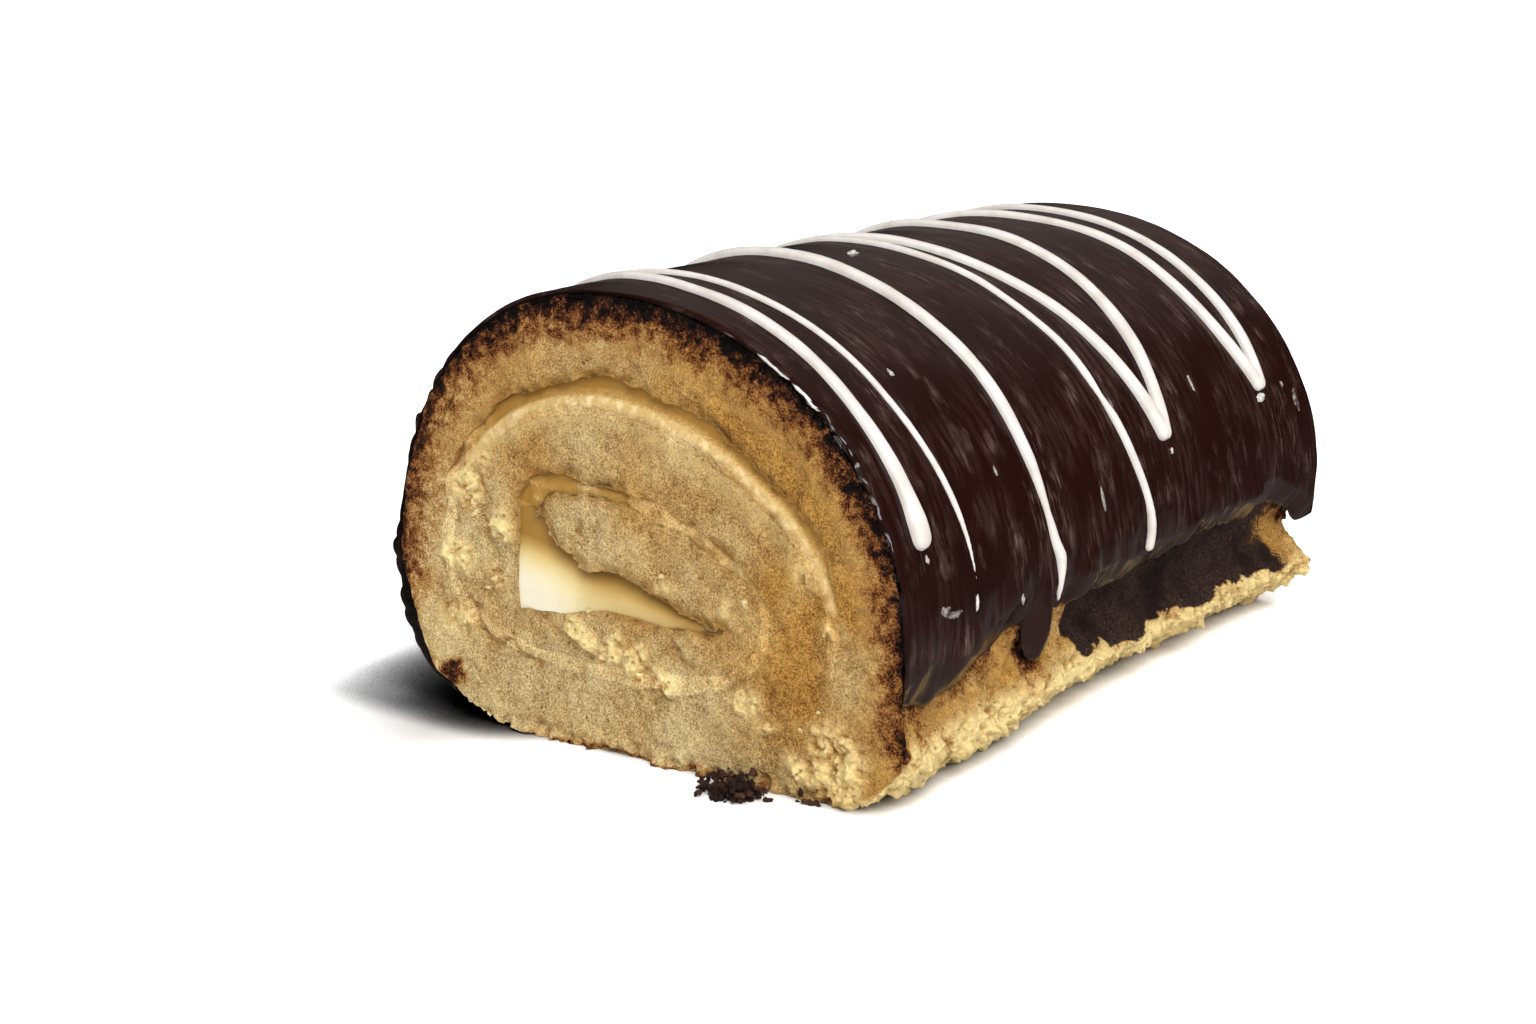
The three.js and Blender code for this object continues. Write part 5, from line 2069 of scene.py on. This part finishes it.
@dataclass
class IcingDrizzle:
    """White icing threads drizzled over the coat."""

    coat: ChocolateCoat
    rise: float = 0.44
    sink: float = 0.35
    slim: float = 0.9
    seed: int = 401
    sides: int = 16
    mean_radius: float = 45.0
    step: float = 0.4
    voxel: float = 0.26
    rounds: int = 5
    threads: tuple[tuple[IcingLeg, ...], ...] = (
        (
            IcingLeg(((-27, 14), (0, 10.4), (20, 8.2), (42, 7), (73.5, 6.6)),
                     ((0, 2.0), (0.4, 2.4), (0.75, 2.6), (0.88, 2.9), (0.95, 3.7), (1, 3.6))),
            IcingLeg(((-27, 14), (0, 15.8), (20, 15.4), (45, 15.1), (84.5, 18.0)),
                     ((0, 2.0), (0.35, 1.7), (0.7, 1.4), (0.85, 1.15), (1, 0.3))),
        ),
        (
            IcingLeg(((-84, 47), (-40, 43.4), (0, 40.6), (30, 38.6), (60, 37.3), (78, 38.4), (84, 39.8),
                      (91, 39)),
                     ((0, 2.4), (0.4, 3), (0.7, 2.9), (0.85, 2.4), (0.905, 1.3), (0.955, 2.3), (1, 0.4))),
        ),
        (
            IcingLeg(((-24, 64), (0, 61.6), (20, 60.8), (45, 62.4), (57, 63.0), (70, 64.8), (83, 67.2),
                      (89, 66.2)),
                     ((0, 2), (0.3, 1.9), (0.68, 1.8), (0.72, 1.2), (0.76, 1.9), (0.9, 1.7), (1, 1.7))),
            IcingLeg(((-24, 64), (0, 65.8), (20, 67), (45, 71), (70, 75.8)),
                     ((0, 2.2), (0.5, 2.6), (1, 3.1))),
            IcingLeg(((-78, 95), (-40, 89), (0, 86), (25, 84.4), (48, 81), (70, 75.8)),
                     ((0, 2.4), (0.5, 2.8), (0.93, 3), (1, 3.3))),
            IcingLeg(((-78, 95), (-40, 99), (0, 103.4), (25, 106), (50, 107.2), (67, 111)),
                     ((0, 2.4), (0.6, 2.6), (1, 2.9))),
            IcingLeg(((-82, 121), (-40, 118), (0, 115.6), (30, 114.8), (55, 113.4), (67, 111)),
                     ((0, 2.2), (0.6, 2.3), (0.93, 2.8), (1, 3))),
        ),
    )
    # The near-white smear at 6.5 degrees, 51.8 mm stands for a glint on the coat: a painted highlight.
    spots: tuple[tuple[float, ...], ...] = (  # angle, distance, reach round and along, height, tone
        (72.4, 77.0, 0.5, 0.4, 0.2, 0.7), (68.4, 110.6, 0.7, 1.2, 0.3, 0.8), (6.5, 51.8, 0.7, 1.3, 0.3, 0.85),
        (85.0, 17.4, 1.1, 0.3, 0.2, 0.8), (75.1, 7.2, 0.55, 0.35, 0.15, 0.5),
        (61.2, 90.6, 1.5, 0.25, 0.15, 0.5), (67.2, 119.0, 0.5, 0.4, 0.12, 0.3),
        (71.2, 122.2, 1.9, 0.9, 0.12, 0.12), (84.6, 10.0, 0.7, 1.0, 0.05, 0.2),
        (85.6, 11.8, 0.45, 1.7, 0.05, 0.18), (76.2, 54.0, 1.6, 0.4, 0.12, 0.35),
        (41.8, 20.1, 0.6, 0.45, 0.15, 0.6), (64.9, 28.6, 0.8, 0.25, 0.12, 0.4),
        (87.6, 29.1, 0.7, 0.3, 0.12, 0.4),
    )

    def leg(self, leg: IcingLeg, seed: int) -> tuple[Array, list[list[int]]]:
        """Tube of one pass.

        Args:
            leg: The pass.
            seed: Picks its unevenness.

        Returns:
            Points in space, and quads closed by a cap at both ends.
        """
        sides = self.sides
        route = np.array(leg.route, dtype=float)
        route[:, 0] = np.radians(route[:, 0]) * self.mean_radius
        count = int(np.ptp(route[:, 0]) / self.step)
        fine = spline(route, count * 4)
        along = arc_lengths(fine)
        places = np.linspace(0.0, along[-1], count + 1)
        angle = np.interp(places, along, fine[:, 0]) / self.mean_radius
        distance = np.interp(places, along, fine[:, 1])
        base = self.coat.surface(angle, distance, -self.sink)
        up = self.coat.outward(angle)
        side, normal = unit(np.cross(np.gradient(base, axis=0), up)), unit(up)
        shares, widths = np.array(leg.widths).T
        spot = np.stack([places, np.full(count + 1, seed * 7.3), np.zeros(count + 1)], axis=1)
        wander = 1.0 + 0.07 * Noise.rough(spot, 9.0, self.seed + seed, 2)
        half = np.interp(places / along[-1], shares, widths) / 2.0 * wander * self.slim
        from_end = np.minimum(np.minimum(places, along[-1] - places) / half, 1.0)
        half = half * np.sqrt(np.clip(1.0 - (1.0 - from_end) ** 2, 0.02, 1.0))
        turn = np.linspace(0.0, 2.0 * np.pi, sides, endpoint=False)
        out = np.sign(np.cos(turn)) * np.abs(np.cos(turn)) ** 0.85
        above = np.sin(turn) > 1e-6
        high = np.where(above, np.abs(np.sin(turn)) ** 0.8 * 2.0 * self.rise, -0.25)
        tall = half[:, None] * high[None, :]
        tall = tall + np.where(above, 1.0, 0.0) * np.minimum(self.sink, half)[:, None]
        ring = base[:, None, :] + side[:, None, :] * (half[:, None] * out[None, :])[:, :, None]
        ring = ring + normal[:, None, :] * tall[:, :, None]
        number = np.arange(ring.size // 3).reshape(count + 1, sides)
        following = np.roll(number, -1, axis=1)
        quads = np.stack([number[:-1], following[:-1], following[1:], number[1:]], axis=-1).reshape(-1, 4)
        return ring.reshape(-1, 3), quads.tolist() + [number[0, ::-1].tolist(), number[-1].tolist()]

    def build(self) -> list[bpy.types.Object]:
        """Builds and dresses every thread and the flecks.

        Returns:
            The pieces.
        """
        finish = IcingFinish()
        made = []
        for number, legs in enumerate(self.threads, start=1):
            points, faces, total = [], [], 0
            for k, leg in enumerate(legs):
                leg_points, leg_faces = self.leg(leg, number * 10 + k)
                points.append(leg_points)
                faces += [[v + total for v in face] for face in leg_faces]
                total += len(leg_points)
            thread = melted(f"icing_thread_{number}", np.vstack(points), faces, self.voxel, self.rounds)
            made.append(tied(thread, finish, f"icing_strand_{number}"))
        return made + [self.flecks()]

    def flecks(self) -> bpy.types.Object:
        """Small drops and thin smears of icing beside the threads, one of them a painted highlight.

        Returns:
            All of them as one piece.
        """
        unit_ball, unit_faces = ball(3)
        points, faces, tones = [], [], []
        for k, (degrees, distance, round_reach, along_reach, height, tone) in enumerate(self.spots):
            angle = np.array([math.radians(degrees)])
            middle = self.coat.surface(angle, np.array([distance]), 0.0)[0]
            normal = unit(self.coat.outward(angle))[0]
            across = np.cross(normal, (0.0, 1.0, 0.0))
            swell = 1.0 + 0.5 * Noise.rough(unit_ball * 2.0 + 9.0 * k, 1.6, self.seed + 50 + k)
            shape = unit_ball * swell[:, None]
            points.append(middle + np.outer(shape[:, 0] * round_reach, across)
                          + np.outer(shape[:, 1] * along_reach, (0.0, 1.0, 0.0))
                          + np.outer(shape[:, 2] * height, normal))
            faces.append(unit_faces + k * len(unit_ball))
            tones.append(np.full(len(unit_ball), tone))
        return finished("icing_flecks", np.vstack(points), np.vstack(faces), {"tone": np.concatenate(tones)},
                        ThinIcingFinish(), "", "icing")


def ball(rounds: int) -> tuple[Array, Array]:
    """Unit ball made of even triangles.

    Args:
        rounds: How often its triangles are split.

    Returns:
        Points and triangles.
    """
    work = bmesh.new()
    bmesh.ops.create_icosphere(work, subdivisions=rounds, radius=1.0)
    points = np.array([tuple(v.co) for v in work.verts])
    faces = np.array([[v.index for v in face.verts] for face in work.faces])
    work.free()
    return points, faces


def melted(name: str, points: Array, faces: list[list[int]], voxel_mm: float,
           rounds: int) -> bpy.types.Object:
    """Runs overlapping closed parts together into one smooth skin.

    Args:
        name: Name of the piece.
        points: Points in millimetres.
        faces: Faces of the closed parts.
        voxel_mm: Size of the new net.
        rounds: Rounds of smoothing.

    Returns:
        The piece.
    """
    raw = bpy.data.meshes.new(name + "_raw")
    raw.from_pydata((points * MM).tolist(), [], faces)
    piece = bpy.data.objects.new(name, raw)
    bpy.context.collection.objects.link(piece)
    remesh = piece.modifiers.new("remesh", "REMESH")
    remesh.mode = "VOXEL"
    remesh.voxel_size = voxel_mm * MM
    smooth = piece.modifiers.new("smooth", "SMOOTH")
    smooth.factor = 0.5
    smooth.iterations = rounds
    whole = bpy.context.evaluated_depsgraph_get()
    mesh = bpy.data.meshes.new_from_object(piece.evaluated_get(whole))
    piece.modifiers.clear()
    piece.data = mesh
    bpy.data.meshes.remove(raw)
    mesh.name = name
    mesh.shade_smooth()
    return piece


@dataclass
class LooseCrumbs:
    """Loose crumbs: a dark cluster under the front face, and pale bits on its torn places."""

    section: RollSection
    relief: CrumbRelief
    seed: int = 503
    cluster: int = 330
    trail: int = 9

    def heap(self, places: Array, sizes: Array, seed: int) -> tuple[Array, Array]:
        """Crumbs of irregular shape at given places.

        Args:
            places: Middles of the crumbs.
            sizes: Their sizes.
            seed: Picks their shapes.

        Returns:
            Points in space and triangles.
        """
        random = np.random.default_rng(seed)
        unit, unit_faces = ball(2)
        points, faces = [], []
        for k, (place, size) in enumerate(zip(places, sizes)):
            stretch = random.uniform(0.6, 1.15, 3)
            spin, _ = np.linalg.qr(random.normal(size=(3, 3)))
            swell = 1.0 + 0.45 * Noise.rough(unit * 1.3 + k * 5.0, 1.0, seed + 1, 2)
            crumb = (unit * swell[:, None] * stretch) @ spin * size / 2.0 + place
            crumb[:, 2] = np.maximum(crumb[:, 2], 0.0)
            points.append(crumb)
            faces.append(unit_faces + k * len(unit))
        return np.vstack(points), np.vstack(faces)

    def build(self) -> list[bpy.types.Object]:
        """Builds and dresses both kinds of crumb.

        Returns:
            The two pieces.
        """
        random = np.random.default_rng(self.seed)
        front = self.section.front_y
        spread = random.normal(size=(self.cluster, 3)) * np.array([2.0, 1.5, 1.0])
        spread += np.array([19.6, front - 4.0, 0.5])
        spread[:, 2] = np.abs(spread[:, 2])
        spread = spread[(spread[:, 2] < 3.2) & (spread[:, 1] > front - 7.5)]
        spread_sizes = random.uniform(0.4, 1.15, len(spread))
        count = self.trail
        trail = np.stack([random.normal(30.0, 1.2, count), random.normal(front - 0.6, 0.4, count),
                          np.abs(random.normal(0.5, 0.4, count))], axis=1)
        places = np.concatenate([spread, trail])
        sizes = np.concatenate([spread_sizes, random.uniform(0.5, 1.1, count)])
        dark = finished("dark_crumbs", *self.heap(places, sizes, self.seed + 1), {},
                        LooseCrumbFinish(CrumbTone.DARK), "", "chocolate")
        bits = []
        for x, z, radius, strength in self.relief.torn:
            number = int(0.7 * strength * radius)
            turn = random.uniform(0.0, 2.0 * np.pi, number)
            reach = radius * np.sqrt(random.uniform(0.0, 1.0, number))
            flat = np.stack([x + reach * np.cos(turn), np.maximum(z + reach * np.sin(turn), 0.4)], axis=1)
            bits.append(in_space(flat, front + 0.25))
        places = np.vstack(bits)
        sizes = random.uniform(0.5, 1.4, len(places))
        pale = finished("pale_crumbs", *self.heap(places, sizes, self.seed + 2), {},
                        LooseCrumbFinish(CrumbTone.PALE), "", "sponge")
        return [dark, pale]


@dataclass
class Studio:
    """Plain pale floor, soft lights and the camera."""

    aim: tuple[float, float, float] = (22.4, -63.2, 38.7)
    azimuth: float = 35.81
    elevation: float = 13.6
    distance: float = 330.0
    lens: float = 58.59

    def sun(self, name: str, azimuth: float, elevation: float, spread: float, power: float) -> None:
        """Adds a distant soft light.

        Args:
            name: Name of the light.
            azimuth: Degrees from the front towards the right.
            elevation: Degrees above the floor.
            spread: Apparent size in degrees.
            power: Strength.
        """
        data = bpy.data.lights.new(name, "SUN")
        data.angle = math.radians(spread)
        data.energy = power
        made = bpy.data.objects.new(name, data)
        made.rotation_euler = self.away(azimuth, elevation).to_track_quat("Z", "Y").to_euler()
        made.visible_glossy = azimuth < 90.0
        bpy.context.collection.objects.link(made)

    def away(self, azimuth: float, elevation: float) -> Vector:
        """Direction from the roll towards an azimuth and an elevation in degrees."""
        turn, tilt = math.radians(azimuth), math.radians(elevation)
        return Vector((math.sin(turn) * math.cos(tilt), -math.cos(turn) * math.cos(tilt), math.sin(tilt)))

    def world(self) -> bpy.types.World:
        """Even white surroundings that only glow softly in the gloss, from high behind.

        Returns:
            The world.
        """
        world = bpy.data.worlds.new("studio")
        world.use_nodes = True
        tree = Tree(world.node_tree)
        rays = tree.add("LightPath").outputs
        direction = tree.add("TexCoord").outputs["Generated"]
        facing = tree.add("VectorMath", {0: direction, 1: self.away(200.0, 33.0)}, operation="DOT_PRODUCT")
        glow = tree.span(facing.outputs["Value"], 0.78, 0.99, 0.014, 0.145)
        level = tree.choose(rays["Is Glossy Ray"], 0.5, glow)
        shown = tree.choose(rays["Is Camera Ray"], level, 1.0)
        tint = tree.blend(rays["Is Glossy Ray"], (1.0, 1.0, 1.0, 1.0), (1.0, 0.85, 0.79, 1.0))
        background = tree.add("Background", {"Strength": shown, "Color": tint})
        tree.add("OutputWorld", {"Surface": background.outputs[0]})
        return world

    def build(self) -> None:
        """Builds floor, lights, world and camera."""
        scene = bpy.context.scene
        scene.view_settings.view_transform = "Standard"
        corners = 4000.0 * np.array([(-1.0, -1.0, 0.0), (1.0, -1.0, 0.0), (1.0, 1.0, 0.0), (-1.0, 1.0, 0.0)])
        floor = make_object("studio_floor", corners, np.array([[0, 1, 2, 3]]), {})
        floor.data.materials.append(FloorFinish().material)
        scene.world = self.world()
        self.sun("key", 47.0, 38.0, 40.0, 3.25)
        self.sun("back_fill", 165.0, 62.0, 40.0, 0.5)
        camera_data = bpy.data.cameras.new("camera")
        camera_data.lens = self.lens
        camera_data.sensor_width = 36.0
        camera = bpy.data.objects.new("camera", camera_data)
        away = self.away(self.azimuth, self.elevation)
        camera.location = (Vector(self.aim) + away * self.distance) * MM
        camera.rotation_euler = (-away).to_track_quat("-Z", "Y").to_euler()
        bpy.context.collection.objects.link(camera)
        scene.camera = camera


def main() -> None:
    """Builds every piece in order and reports it."""
    logging.basicConfig(level=logging.INFO, format="%(name)s: %(message)s")
    section = RollSection.from_frame()
    path, relief = CreamPath(), CrumbRelief()
    slot = path.slot()
    Studio().build()
    pieces = [RolledSponge(SpongeOutline(section), path, slot, relief).build(),
              CreamFilling(section, path, slot, relief).build()]
    coat = ChocolateCoat(section)
    pieces.append(coat.build())
    pieces += IcingDrizzle(coat).build()
    pieces += LooseCrumbs(section, relief).build()
    for piece in pieces:
        LOG.info("%s: %d faces", piece.name, len(piece.data.polygons))


if __name__ == "__main__":
    main()
